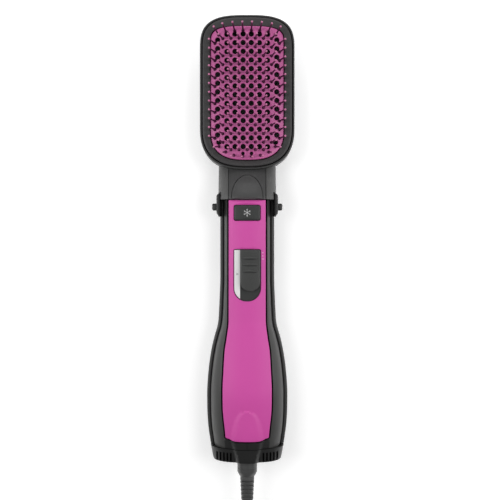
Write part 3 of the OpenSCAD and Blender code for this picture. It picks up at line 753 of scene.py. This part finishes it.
def build_front_cover():
    holes = [rect_outline(*wider(BUTTON, 0.35), 1.5, 1.5), rect_outline(*RECESS, 1.4, 9.6, 14)]
    parts = panel(cover_outline(0), holes, cover_top, 2.0, 1.15, edge=0.55, hole_edge=0.3)
    mesh_piece("front_cover_panel", parts, "handle", ["front_cover"], "pink_cover")
    marks = [surface_bar(11.0, 11.0 + length, y - 0.25, y + 0.25, cover_top)
             for y, length in ((-6.6, 1.1), (-8.9, 1.1), (-11.2, 1.6))]
    mesh_piece("switch_marks", marks, "handle", [], "indicator_white", ["mark_pink"])


def surface_bar(x0, x1, y0, y1, top, n=6):
    """A thin printed bar that follows the surface top."""
    outline = [(x0 + (x1 - x0) * i / n, y0) for i in range(n + 1)]
    outline += [(x1 + (x0 - x1) * i / n, y1) for i in range(n + 1)]
    return draped(outline, top, -0.1, 0.06)


def build_inlet_cap():
    """The end cap with its slots, and the lint screen behind them."""
    rows = [(CAP_Y - 0.25, 0.35), (CAP_Y - 0.4, 0.0)] + [(-153 - 1.5 * i, 0.0) for i in range(6)]
    rows += [(-161.4, 0.0), (-162.0, 0.0), (-162.4, 0.35), (-162.8, 0.7), (-163.1, 1.1), (-163.3, 1.7)]
    loops = []
    for y, inset in rows:
        loop = []
        for j in range(160):
            x, _, z = section(HANDLE, y, 360 * (j + 0.5) / 160, inset, 2.2 * inset)
            if z > 25:
                z += boss_rise(x, y)
            loop.append((x, y, z))
        loops.append(loop)
    obj = mesh_piece("inlet_cap_shell", [sweep(loops)], "handle", ["inlet_cap"], "black_trim")
    slots = []
    for side in (1, -1):
        for i in range(5):
            x = side * (12.1 + 2.6 * i)
            slots.append(prism(rect_outline(x - 0.65, x + 0.65, -162.3, -154.6, 0.6, 0.3, 6), 12, 60))
    bore = lathe([(-4, 9.5), (4.5, 9.5)], (0, -163.3, EXIT_Z))

    cut(obj, [tube(HANDLE, (-151, -156, -161.8), 96, 2.2)])
    cut(obj, slots + [bore])
    screen = mesh_piece("inlet_screen_mesh", [tube(HANDLE, (-152.2, -156, -161.7), 96, 2.26)], "handle", [],
                        "black_trim", ["screen"])
    cut(screen, [tube(HANDLE, (-151, -156, -161.2), 96, 2.7)])
    cut(screen, [bore])


def build_spigot():
    profile = [(22, 11.2), (22, 12.35), (45.2, 12.4), (45.8, 12.25), (46, 12.0), (46, 11.4), (45.8, 11.2),
               (22, 11.2)]
    mesh_piece("outlet_spigot_tube", [lathe(profile, (0, 0, AIR_Z), sides=96)], "handle",
               ["outlet_spigot"], "front_housing")


# ---- Controls ----

TRAY_TOP = 40.0
STRIP_EDGE = -5.3                  # right edge of the indicator strip, beside the knob
BUTTON_Y = 23.2                    # middle of the cool-shot button


def build_tray():
    """A flat tray plate with the slot for the slider's stem.

    The two cutters overlap, so that the recess isn't sunk: it only marks its outline on the flat top.
    """
    plate = prism(rect_outline(-10.1, 10.1, -42.7, -4, 1.2, 9.5, 14), TRAY_TOP - 2, TRAY_TOP)
    tray = mesh_piece("switch_tray_shell", [plate], "handle", ["switch_tray"], "control_grey")
    recess = prism(rect_outline(-9.65, 9.75, -42.2, -4.35, 0.6, 9.0, 14), TRAY_TOP - 1, 50)
    slot = prism(rect_outline(-0.4, 4.4, -28.6, -17.6, 0.4, 0.4), 30, 50)
    cut(tray, [recess, slot])


def build_indicator():
    """The white strip on the tray's left, with two bars on it."""
    whole = rect_outline(-9.6, 9.6, -42.1, -4.5, 0.5, 9.0, 14)
    strip = sorted((p for p in whole if p[0] < STRIP_EDGE), key=lambda p: -p[1])
    outline = [(STRIP_EDGE, strip[0][1])] + strip + [(STRIP_EDGE, strip[-1][1])]
    mesh_piece("indicator_panel", [prism(outline, TRAY_TOP - 1, TRAY_TOP + 0.5)], "handle", ["indicator_strip"],
               "indicator_white", ["white"])
    marks = [box_part(x - 0.2, x + 0.2, -22.4 - half, -22.4 + half, TRAY_TOP + 0.4, TRAY_TOP + 0.56)
             for x, half in ((-7.7, 0.9), (-6.9, 0.7))]
    mesh_piece("indicator_marks", marks, "handle", [], "control_grey", ["mark_grey"])


def knob_top(x, y):
    dish = 0.55 * math.exp(-((y + 15.4) / 7.5) ** 2)
    return 43.1 - dish - 0.006 * (x - 2) ** 2


def build_slider():
    """The slider knob: a dished top with three ridges, and the stem that goes through the tray's slot."""
    parts = panel(rect_outline(-5.15, 9.7, -35.4, -4.4, 0.9, 7.3, 14), [], knob_top, 2.0, 1.0, edge=0.5)
    for y in (-10.5, -15.4, -20.3):
        ridge = []
        for i in range(33):
            x = -3.9 + 11.9 * i / 32
            end = math.sqrt(max(0.0004, 1 - (abs(x - 2.05) / 5.96) ** 3))
            ridge.append([(x, y + 1.25 * math.cos(a) * end, knob_top(x, y) - 0.25 + 1.0 * math.sin(a) * end)
                          for a in np.linspace(0, math.pi, 16)])
        parts.append(sweep(ridge))
    parts.append(box_part(0, 4, -22, -18, 36.2, 41.0))
    mesh_piece("slider_knob_cap", parts, "slider", ["slider_knob"], "control_grey", ["slider_grey"])


def button_top(x, y):
    return 42.75 - 0.0045 * x * x - 0.006 * (y - BUTTON_Y) ** 2


def build_button():
    face = panel(rect_outline(*BUTTON, 1.3, 1.3), [], button_top, 3.7, 0.9, edge=0.7)
    mesh_piece("cool_button_cap", face, "cool_shot", ["cool_button"], "control_grey")
    mesh_piece("snowflake_mark", snowflake(0.0, BUTTON_Y, 2.9), "cool_shot", [], "indicator_white",
               ["mark_light"])


def snowflake(cx, cy, size):
    """A plain six-armed frost mark on the button."""
    bars = []

    def bar(x, y, length, angle, half):
        ux, uy = math.cos(angle), math.sin(angle)
        x1, y1 = x + length * ux, y + length * uy
        nx, ny = -uy * half, ux * half
        ring = [(x + nx, y + ny), (x - nx, y - ny), (x1 - nx, y1 - ny), (x1 + nx, y1 + ny)]
        bars.append(draped(ring, button_top, -0.08, 0.07))

    for k in range(6):
        a = math.radians(30 + 60 * k)
        bar(cx, cy, size, a, 0.14)
        fork = (cx + 0.66 * size * math.cos(a), cy + 0.66 * size * math.sin(a))
        for turn in (math.radians(48), math.radians(-48)):
            bar(*fork, 0.24 * size, a + turn, 0.11)
    return bars


def build_latches():
    """Each latch: a plate that thins towards its ends, a ribbed nub, and a stem that goes into the neck."""
    back, middle_y, half_height = 20.8, 29.8, 9.0
    outline = [(back, 21), (21.9, 21)] + arc(19.9, 24.5, 3.5, -50, 0, 8) + arc(20.6, 35.8, 2.8, 0, 62, 8)
    outline += [(21.2, 38.6), (back, 38.6)]
    for side, name in ((1, "right"), (-1, "left")):
        loops = []
        for z in np.linspace(-half_height, half_height, 25):
            pull = 1.3 * (1 - math.sqrt(max(0.0, 1 - (abs(z) / half_height) ** 6)))
            end = 0.6 * (1 - math.sqrt(max(0.0, 1 - (abs(z) / half_height) ** 8)))
            loops.append([(side * (back + (x - back) * (1 - pull / 2.6)),
                           middle_y + (y - middle_y) * (1 - end / 9), LATCH_Z + z) for x, y in outline])
        plate = sweep(loops)
        nub = []
        for x, shrink in ((22.2, 0.0), (25.7, 0.0), (26.1, 0.12), (26.4, 0.35), (26.6, 0.75)):
            ring = rect_outline(25.7 + shrink, 30.8 - shrink,
                                LATCH_Z - 5 + shrink, LATCH_Z + 5 - shrink, 0.9, 0.9, 6)
            nub.append([(side * x, y, z) for y, z in ring])
        stem = [[(side * x, y, z) for y, z in rect_outline(21.1, 38.3, LATCH_Z - 7, LATCH_Z - 1.8, 1, 1, 4)]
                for x in (16.9, 21.2)]
        ribs = []
        for y in (27.1, 28.25, 29.4):
            ribs.append(sweep([[(side * x, y + 0.28 * math.cos(a), LATCH_Z + z) for a, x in
                                ((0, 26.5), (math.pi / 2, 26.85), (math.pi, 26.5), (math.pi, 26.2), (0, 26.2))]
                               for z in (-3.8, 3.8)]))
        mesh_piece("release_latch_" + name, [plate, sweep(nub), sweep(stem)] + ribs, "release_" + name,
                   ["latch_" + name], "black_trim")


# ---- Brush head ----

RIM_Z = 33.0
CROWN_R = 94.0
CROWN_Z = 37.0
PITCH_X, PITCH_Y = 6.1, 6.49
ROW_TOP = 154.2
SIDE_X = 24.3
PILLARS = [(30.4, 132), (30.4, 90)]


def back_z(y):
    return 0.0 if y < 80 else 10 * (y - 80) / (HEAD_TOP - 80)


def build_rear_shell():
    def lift(inset, t):
        return [(x, y, back_z(y) * (1 - t) + RIM_Z * t) for x, y in head_outline(inset)]

    outer = []
    for k in range(19):
        a = math.pi / 2 * k / 18
        outer.append(lift(15 * (1 - math.sin(a)) ** 1.35, 0.62 * (1 - math.cos(a)) ** 1.25))
    rim = [lift(0, 0.8), lift(0, 0.97), lift(0.1, 0.985), lift(0.3, 0.998), lift(0.6, 1.0), lift(1.2, 1.0),
           lift(1.45, 0.99), lift(1.6, 0.97), lift(1.65, 0.9)]
    inner = [lift(2.2, 0.66), lift(3, 0.46), lift(4.6, 0.3), lift(7, 0.19), lift(11, 0.12), lift(16, 0.09)]
    obj = mesh_piece("head_rear_shell_bowl", [sweep([lift(18, 0)] + outer + rim + inner)], "brush_head",
                     ["head_rear_shell"], "rear_housing")
    wells = [lathe([(-3, 2.15), (back_z(y) + 5, 2.0)], (side * x, y, 0), "z", 36)
             for x, y in PILLARS for side in (1, -1)]
    cut(obj, wells)


def build_head_frame():
    """The front frame: a rounded outer edge, a face that falls towards the pad, a crisp inner edge."""
    profile = [(2.1, 0.0, 30.2), (2.1, 0.0, 33.5), (2.2, 0.0, 34.0), (2.5, 0.0, 34.35), (3.0, 0.0, 34.5),
               (3.6, 0.0, 34.55), (3.6, 0.3, 34.5), (3.6, 0.6, 34.4), (3.6, 0.9, 34.26), (3.6, 0.96, 34.1),
               (3.6, 1.0, 33.7), (3.6, 1.0, 30.2)]
    loops = []
    for inset, blend, z in profile:
        outer, inner = np.array(head_outline(inset, 64)), np.array(pad_outline(-0.55, 64))
        ring = outer * (1 - blend) + inner * blend
        loops.append([(x, y, z) for x, y in ring])
    mesh_piece("head_frame_ring", [sweep(loops, closed=True)], "brush_head", ["head_frame"], "head_grey")


def neck_top(x, y):
    return top_height(NECK, x, y)


def build_neck():
    """The sleeve, with a sunk centre panel between two side bands, and the arched plate on that panel."""
    ys = list(np.linspace(66, 34.2, 30)) + [33.8, 33.5, 33.4]
    shrink = {33.5: 0.15, 33.4: 0.4}
    loops = [[section(NECK, y, 360 * (j + 0.5) / 128, shrink.get(y, 0.0)) for j in range(128)] for y in ys]
    obj = mesh_piece("neck_sleeve_shell", [sweep(loops)], "brush_head", ["neck_sleeve"], "head_grey",
                     ["neck_grey"])
    cut(obj, [tube(NECK, np.linspace(64.5, 37.4, 14), 96, 2.4)])
    cut(obj, [lathe([(30, 12.7), (40, 12.7)], (0, 0, AIR_Z), sides=96)])
    cut(obj, latch_recesses())
    cut(obj, latch_windows())
    cut(obj, [carpet(np.linspace(-14.4, 14.4, 30), np.linspace(58, 30, 30), neck_top, 1.2)])

    def arch(w, h):
        return [(w * math.cos(a), 33.9 + h * math.sin(a)) for a in np.linspace(0, math.pi, 60)]

    around = [(-13.9, 33.5), (-13.9, 47), (-13.9, 57.5), (0, 57.5), (13.9, 57.5), (13.9, 47), (13.9, 33.5),
              (12.0, 33.5)]
    face = panel((around + arch(12.0, 18.3))[::-1], [], lambda x, y: neck_top(x, y) - 0.35, 0.8, 0.9, edge=0.15)
    mesh_piece("neck_face_plate", face, "brush_head", [], "neck_trim")
    outline = arch(11.5, 17.8) + [(-11.5, 33.5), (11.5, 33.5)]
    mesh_piece("neck_trim_panel", panel(outline, [], lambda x, y: neck_top(x, y) + 0.1, 1.2, 0.9, edge=0.3),
               "brush_head", ["neck_trim"], "neck_trim")


def crown(x):
    return CROWN_Z - CROWN_R + math.sqrt(CROWN_R**2 - x * x)


def vent_places():
    """(x, y, radius) of every vent between the bristles."""
    radius = 1.95
    places = [(PITCH_X * (k - 2.5), 157.4 - PITCH_Y * i, radius) for i in range(14) for k in range(6)]
    for i in range(13):
        x, lift = (22.2 * 0.955, 1) if i == 12 else (22.2, 0)
        places += [(side * x, 153.4 - PITCH_Y * i + lift, radius) for side in (-1, 1)]
    return places + [(-3.2, 67.9, 1.3), (3.2, 67.9, 1.3)]


def build_pad():
    holes = [circle(x, y, r, 24) for x, y, r in vent_places()]
    parts = panel(pad_outline(0, 44), holes, lambda x, y: crown(x), 2.2, 1.6, edge=0.6, hole_edge=0.5,
                  steps=3, hole_number=1)
    # Painted shade: the holes' walls (material number 1) take the near-black vent material instead of pink.
    mesh_piece("bristle_pad_plate", parts, "brush_head", ["bristle_pad"], "pad_pink",
               ["pad_pink", "vent_wall_painted_shade"], angle=50)


BRISTLE = 14.5                     # from the pad to the middle of the tip's ball


def bristle_parts(x, y, lean):
    """One bristle: ball foot, tapered pin, ball tip, square to the pad's crown but for its lean along y."""
    tilt = math.asin(x / CROWN_R)
    dx, dz = math.sin(tilt), math.cos(tilt)
    across = np.array([dz, 0.0, -dx])
    radians = math.radians(lean)
    axis = np.array([dx * math.cos(radians), math.sin(radians), dz * math.cos(radians)])
    along = np.cross(axis, across)
    root = np.array([x, y, crown(x)])

    def body(profile, number):
        loops = []
        for height, radius in profile:
            centre = root + axis * height
            loops.append([tuple(centre + radius * (across * math.cos(a) + along * math.sin(a)))
                          for a in np.linspace(0, 2 * math.pi, 14, endpoint=False)])
        return sweep(loops, number)

    ball = 0.8
    foot = [(-1.2, 1.0), (-0.2, 1.22), (0.25, 1.22), (0.65, 1.05), (0.95, 0.8)]
    pin = [(1.25, 0.72), (4, 0.66), (8, 0.58), (12, 0.5), (BRISTLE - 0.65, 0.45)]
    tip = [(BRISTLE + ball * math.sin(a), max(0.04, ball * math.cos(a)))
           for a in np.linspace(-0.97, math.pi / 2, 9)]
    return [body(foot + pin, 0), body(tip, 1)]


def build_bristles():
    """Thirteen rows, an edge row at each side, and an arc at the top and at the bottom."""
    def piece(node, spots):
        parts = [p for spot in spots for p in bristle_parts(*spot)]
        mesh_piece(node + "_pins", parts, "brush_head", [node], "bristle_plum", ["bristle_plum", "tip_pink"],
                   angle=60)

    for k in range(13):
        y = ROW_TOP - PITCH_Y * k
        piece(f"bristle_row_{k + 1:02d}", [(PITCH_X * i, y, 0.0) for i in range(-3, 4)])
    for side, name in ((1, "right"), (-1, "left")):
        piece("bristle_edge_" + name,
              [(side * SIDE_X, ROW_TOP - PITCH_Y * (i + 0.5), 0.0) for i in range(12)])
    top_x = (-21.4, -15.8, -9.4, -3.1, 3.1, 9.4, 15.8, 21.4)
    piece("bristle_arc_top", [(x, 160 - 3.4 * (abs(x) / 22.4) ** 4, 11.0) for x in top_x])
    low_x = (-21.2, -16.2, -10, -3.4, 3.4, 10, 16.2, 21.2)
    piece("bristle_arc_bottom", [(x, 65.7 + 7.5 * (abs(x) / 21.2) ** 3, -7.0) for x in low_x]
          + [(PITCH_X * i, 70.7, 0.0) for i in range(-2, 3)])


# ---- Cord ----

CORD_D = 7.0
RELIEF_END = -200.0
COIL = (-16.4, -282.0)
COIL_R, COIL_PITCH = 48.8, 7.2     # outer turn's centreline, distance between turns
LOW_Z, HIGH_Z = 4.3, 11.4          # the coil's two layers
JOIN_A = 25.0                      # where the cord joins the coil, in degrees
RISE_A, TAIL_A = 176.0, -20.0      # where the last turn starts to rise, and where it leaves the circle
PLUG_AT = (COIL[0], COIL[1] - 36.0, 23.2)


def coil_point(degrees, r, z):
    a = math.radians(degrees)
    return (COIL[0] + r * math.cos(a), COIL[1] + r * math.sin(a), z)


def along_coil(degrees, length):
    """Step of that length along the turn, the way the cord is wound."""
    a = math.radians(degrees)
    return (math.sin(a) * length, -math.cos(a) * length, 0.0)


def run(p, q, u, v, n):
    """Smooth run from p to q that starts along u and ends along v."""
    p, q, u, v = (np.array(w, float) for w in (p, q, u, v))
    return [tuple((2 * t**3 - 3 * t**2 + 1) * p + (t**3 - 2 * t**2 + t) * u
                  + (3 * t**2 - 2 * t**3) * q + (t**3 - t**2) * v) for t in np.linspace(0, 1, n + 1)]


def coil_points():
    """Four turns inwards on the table and three outwards on top of them, up to where the last one rises."""
    radii = [COIL_R - COIL_PITCH * k for k in range(4)] + [COIL_R - COIL_PITCH * (2.5 - k) for k in range(3)]
    per_turn = 72
    points = []
    for k in range(7):
        for i in range(per_turn):
            u = i / per_turn
            degrees = JOIN_A - 360 * (k + u)
            r, z = radii[k], LOW_Z if k < 4 else HIGH_Z
            if k < 3:
                r += (radii[k + 1] - radii[k]) * smooth((u - 0.85) / 0.15)
            elif k == 3:
                z += (HIGH_Z - LOW_Z) * smooth((u - 0.74) / 0.16)
                r += (radii[4] - radii[3]) * smooth((u - 0.86) / 0.12)
            elif k < 6:
                r += (radii[k + 1] - radii[k]) * smooth((u - 0.76) / 0.15)
            elif degrees <= RISE_A - 360 * 7 + 1:
                break
            points.append(coil_point(degrees, r, z))
    return points


def tail_points():
    """The last turn rises over the coil and runs into the plug, which lies on it."""
    start_r, inwards = COIL_R - COIL_PITCH / 2, 2.2
    rise_over_coil, rise_to_plug = 7.1, 2.0
    points = []
    for a in np.arange(RISE_A, TAIL_A, -4.0):
        last = smooth((75 - a) / 95)
        points.append(coil_point(a, start_r - inwards * last,
                                 HIGH_Z + rise_over_coil * smooth((RISE_A - a) / 72) + rise_to_plug * last))
    end = (PLUG_AT[0] + 16, PLUG_AT[1], PLUG_AT[2])
    leave = coil_point(TAIL_A, start_r - inwards, HIGH_Z + rise_over_coil + rise_to_plug)
    points += run(leave, end, along_coil(TAIL_A, 30), (-30, 0, 0), 16)
    return points + [(end[0] - 6, end[1], end[2])]


def cord_points():
    """Straight out of the relief, down to the table, round the coil and into the plug."""
    lead = run((0, RELIEF_END - 4, EXIT_Z), coil_point(JOIN_A, COIL_R, LOW_Z), (0, -70, 0),
               along_coil(JOIN_A, 75), 30)
    return [(0, RELIEF_END + 6, EXIT_Z), (0, RELIEF_END, EXIT_Z)] + lead[:-1] + coil_points() + tail_points()


def build_cord():
    points = cord_points()
    curve = bpy.data.curves.new("mains_cord", "CURVE")
    curve.dimensions = "3D"
    curve.bevel_depth = CORD_D / 2 * MM
    curve.bevel_resolution = 6
    curve.use_fill_caps = True
    spline = curve.splines.new("POLY")
    spline.points.add(len(points) - 1)
    spline.use_smooth = True
    for point, place in zip(spline.points, points):
        point.co = (*[c * MM for c in place], 1.0)
    cord = add_object("mains_cord", curve)
    finish_piece(cord, "handle", ["power_cord", "cord_coil", "cord_tail"], ["cord_rubber"])

    build_collar()
    boot = build_relief()
    plug, prongs = build_plug()
    tie = build_tie()


def build_collar():
    """The swivel collar: grip ring, groove, and the flange that the end cap holds."""
    profile = [(-175.0, 5.2), (-175.0, 5.6), (-174.7, 5.95), (-172.3, 7.2), (-171.7, 7.45), (-169.2, 7.45),
               (-169.05, 7.2), (-168.6, 7.2), (-168.45, 7.45), (-163.6, 7.45), (-163.4, 7.0), (-163.4, 6.0),
               (-156.7, 6.0), (-156.7, 8.2), (-154.2, 8.2), (-154.2, 5.0)]
    mesh_piece("swivel_collar_ring", [lathe(profile, (0, 0, EXIT_Z), sides=96)], "swivel", ["swivel_collar"],
               "black_trim", ["collar_grey"])


def build_relief():
    """The strain relief: a tapering sleeve with seven grooves."""
    core = 3.75
    profile = [(-174.8, 5.3), (-177.4, 5.3)]
    for i in range(7):
        y, r = -178.6 - 3.0 * i, 5.3 - 0.16 * i
        profile += [(y + 0.7, r), (y + 0.45, r - 0.15), (y + 0.35, core)]
        profile += [(y - 0.35, core), (y - 0.45, r - 0.15), (y - 0.7, r)]
    profile += [(-199.3, 4.1), (-199.8, 4.0), (RELIEF_END, 3.7)]
    return mesh_piece("strain_relief_boot", [lathe(profile, (0, 0, EXIT_Z))], "swivel", ["strain_relief"],
                      "cord_rubber", ["relief_rubber"])


def along_plug(loops):
    """Turns loops made along -Y about the origin so that they run along -X from the plug's place."""
    return [[(PLUG_AT[0] + y, PLUG_AT[1] - x, PLUG_AT[2] + z) for x, y, z in loop] for loop in loops]


def build_plug():
    """A two-blade plug: ribbed sleeve, waisted body, and blades with a hole through both."""
    neck = [(16.0, 3.6), (15.8, 4.3), (15.2, 4.6), (11, 4.9), (10.6, 4.5), (9.8, 4.5), (9.4, 5.0), (7, 5.3),
            (6.6, 4.8), (5.8, 4.8), (5.4, 5.4), (2, 6.2), (-3, 7.0)]
    sleeve = [[(x, y, z) for x, z in circle(0, 0, r, 48)] for y, r in neck]
    shell = []
    for y, inset in ((-0.4, 3.2), (-0.9, 1.6), (-1.8, 0.6), (-3.2, 0.05), (-6, 0.0), (-8, 0.9), (-15, 0.9),
                     (-17, 0.0), (-24.6, 0.0), (-25.5, 0.3), (-26.0, 0.9)):
        ring = rect_outline(-12.5 + inset, 12.5 - inset, -8.2 + inset * 0.7, 8.2 - inset * 0.7, 3.6, 3.6, 8)
        shell.append([(x, y, z) for x, z in ring])
    plug = mesh_piece("plug_housing", [sweep(along_plug(sleeve)), sweep(along_plug(shell))], "handle",
                      ["plug_body"], "cord_rubber")
    blades = []
    for x, half in ((-6.35, 4.0), (6.35, 3.2)):
        loops = []
        for y, inset, thin in ((-25, 0, 0), (-41.5, 0, 0), (-43.2, 0.5, 0.25), (-44, 1.1, 0.5)):
            ring = rect_outline(-0.75 + thin, 0.75 - thin, -half + inset, half - inset, 0.2, 0.2, 3)
            loops.append([(x + u, y, v) for u, v in ring])
        blades.append(sweep(along_plug(loops)))
    prongs = mesh_piece("plug_prongs", blades, "handle", ["plug_blades"], "plug_blade")
    hole = [[(x, y, z) for y, z in circle(-39.5, 0, 1.6, 32)] for x in (-9, 9)]
    cut(prongs, [sweep(along_plug(hole))])
    return plug, prongs


def build_tie():
    """A strap round all the turns of the coil."""
    middle_x = COIL[0] - 38
    loops = []
    for y, grow in ((-3.0, 0.0), (-3.0, 0.5), (-2.7, 0.62), (0, 0.65), (2.7, 0.62), (3.0, 0.5), (3.0, 0.0)):
        ring = rect_outline(-14.4 - grow, 14.4 + grow, 0.75 - grow, 15.0 + grow, 2.5 + grow, 1.2 + grow, 8)
        loops.append([(middle_x + x, COIL[1] + y, max(0.02, z)) for x, z in ring])
    return mesh_piece("cord_tie_strap", [sweep(loops, closed=True)], "handle", ["cord_tie"], "cord_tie")


# ---- Inner pieces: wound springs, and the CAD nodes that keep their shape and take these materials ----

# (CAD node, joint, middle of the fixed end, axis, coil radius, wire radius, length, turns, travel)
SPRINGS = [
    ("cool_spring", "cool_button_press", (0.0, BUTTON_Y, 34.8), (0, 0, 1), 4.9, 0.35, 3.95, 4, 1.55),
    ("latch_spring_right", "release_right_press", (12.9, 27.0, LATCH_Z), (1, 0, 0), 2.4, 0.3, 3.95, 3, 1.25),
    ("latch_spring_left", "release_left_press", (-12.9, 27.0, LATCH_Z), (-1, 0, 0), 2.4, 0.3, 3.95, 3, 1.25),
]


def build_springs():
    """Return springs of the button and the latches, each a static wire wound along its axis from its fixed end.
    """
    for node, joint, seat, axis, radius, wire, length, turns, travel in SPRINGS:
        along = Vector(axis)
        side = along.cross(Vector((0, 1, 0)))
        up = along.cross(side)
        per_turn = 32
        steps = per_turn * turns
        loops = []
        for i in range(steps + 1):
            a = math.tau * i / per_turn
            out = side * math.cos(a) + up * math.sin(a)
            centre = Vector(seat) + out * radius + along * (wire + (length - 2 * wire) * i / steps)
            loops.append([centre + out * u + along * v for u, v in circle(0, 0, wire, 10)])
        obj = mesh_piece(node + "_wire", [sweep(loops)], "handle", [node], "spring_steel")
        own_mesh(obj)


INNER = {
    "black_trim": ["swivel_socket", "switch_body", "cool_switch"],
    "spring_steel": ["motor_shaft", "housing_screws", "head_screws"],
    "motor_steel": ["motor_can", "thermostat", "thermal_fuse"],
    "fan_plastic": ["motor_mount", "impeller"],
    "mica": ["heater_tube", "heater_boards"],
    "heater_wire": ["heater_coil"],
    "circuit_board": ["circuit_board"],
    "lead_wire": ["lead_wires"],
}


def dress_inner():
    for key, nodes in INNER.items():
        for node in nodes:
            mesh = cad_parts[node].data
            mesh.materials.clear()
            mesh.materials.append(M[key])


def add_floor():
    """A white floor, 24 m wide and just under everything that lies on it."""
    mesh = bpy.data.meshes.new("floor")
    half = 12.0
    corners = [(-half, -half, 0), (half, -half, 0), (half, half, 0), (-half, half, 0)]
    mesh.from_pydata(corners, [], [(0, 1, 2, 3)])
    floor = add_object("floor", mesh)
    floor.location.z = -0.0004
    s = Shader("floor_white")
    s.color(s.noise(2.0), [(0.3, grey(0.93)), (0.7, grey(0.95))])
    s.set("Roughness", 0.9)
    s.set("Emission Color", (1.0, 1.0, 1.0, 1.0))
    s.set("Emission Strength", 0.25)
    mesh.materials.append(s.material)


add_camera()
build_cord()
build_rear_housing()
build_front_housing()
build_front_cover()
build_inlet_cap()
build_spigot()
build_tray()
build_indicator()
build_slider()
build_button()
build_latches()
build_springs()
build_rear_shell()
build_head_frame()
build_neck()
build_pad()
build_bristles()
dress_inner()
add_floor()
add_studio()
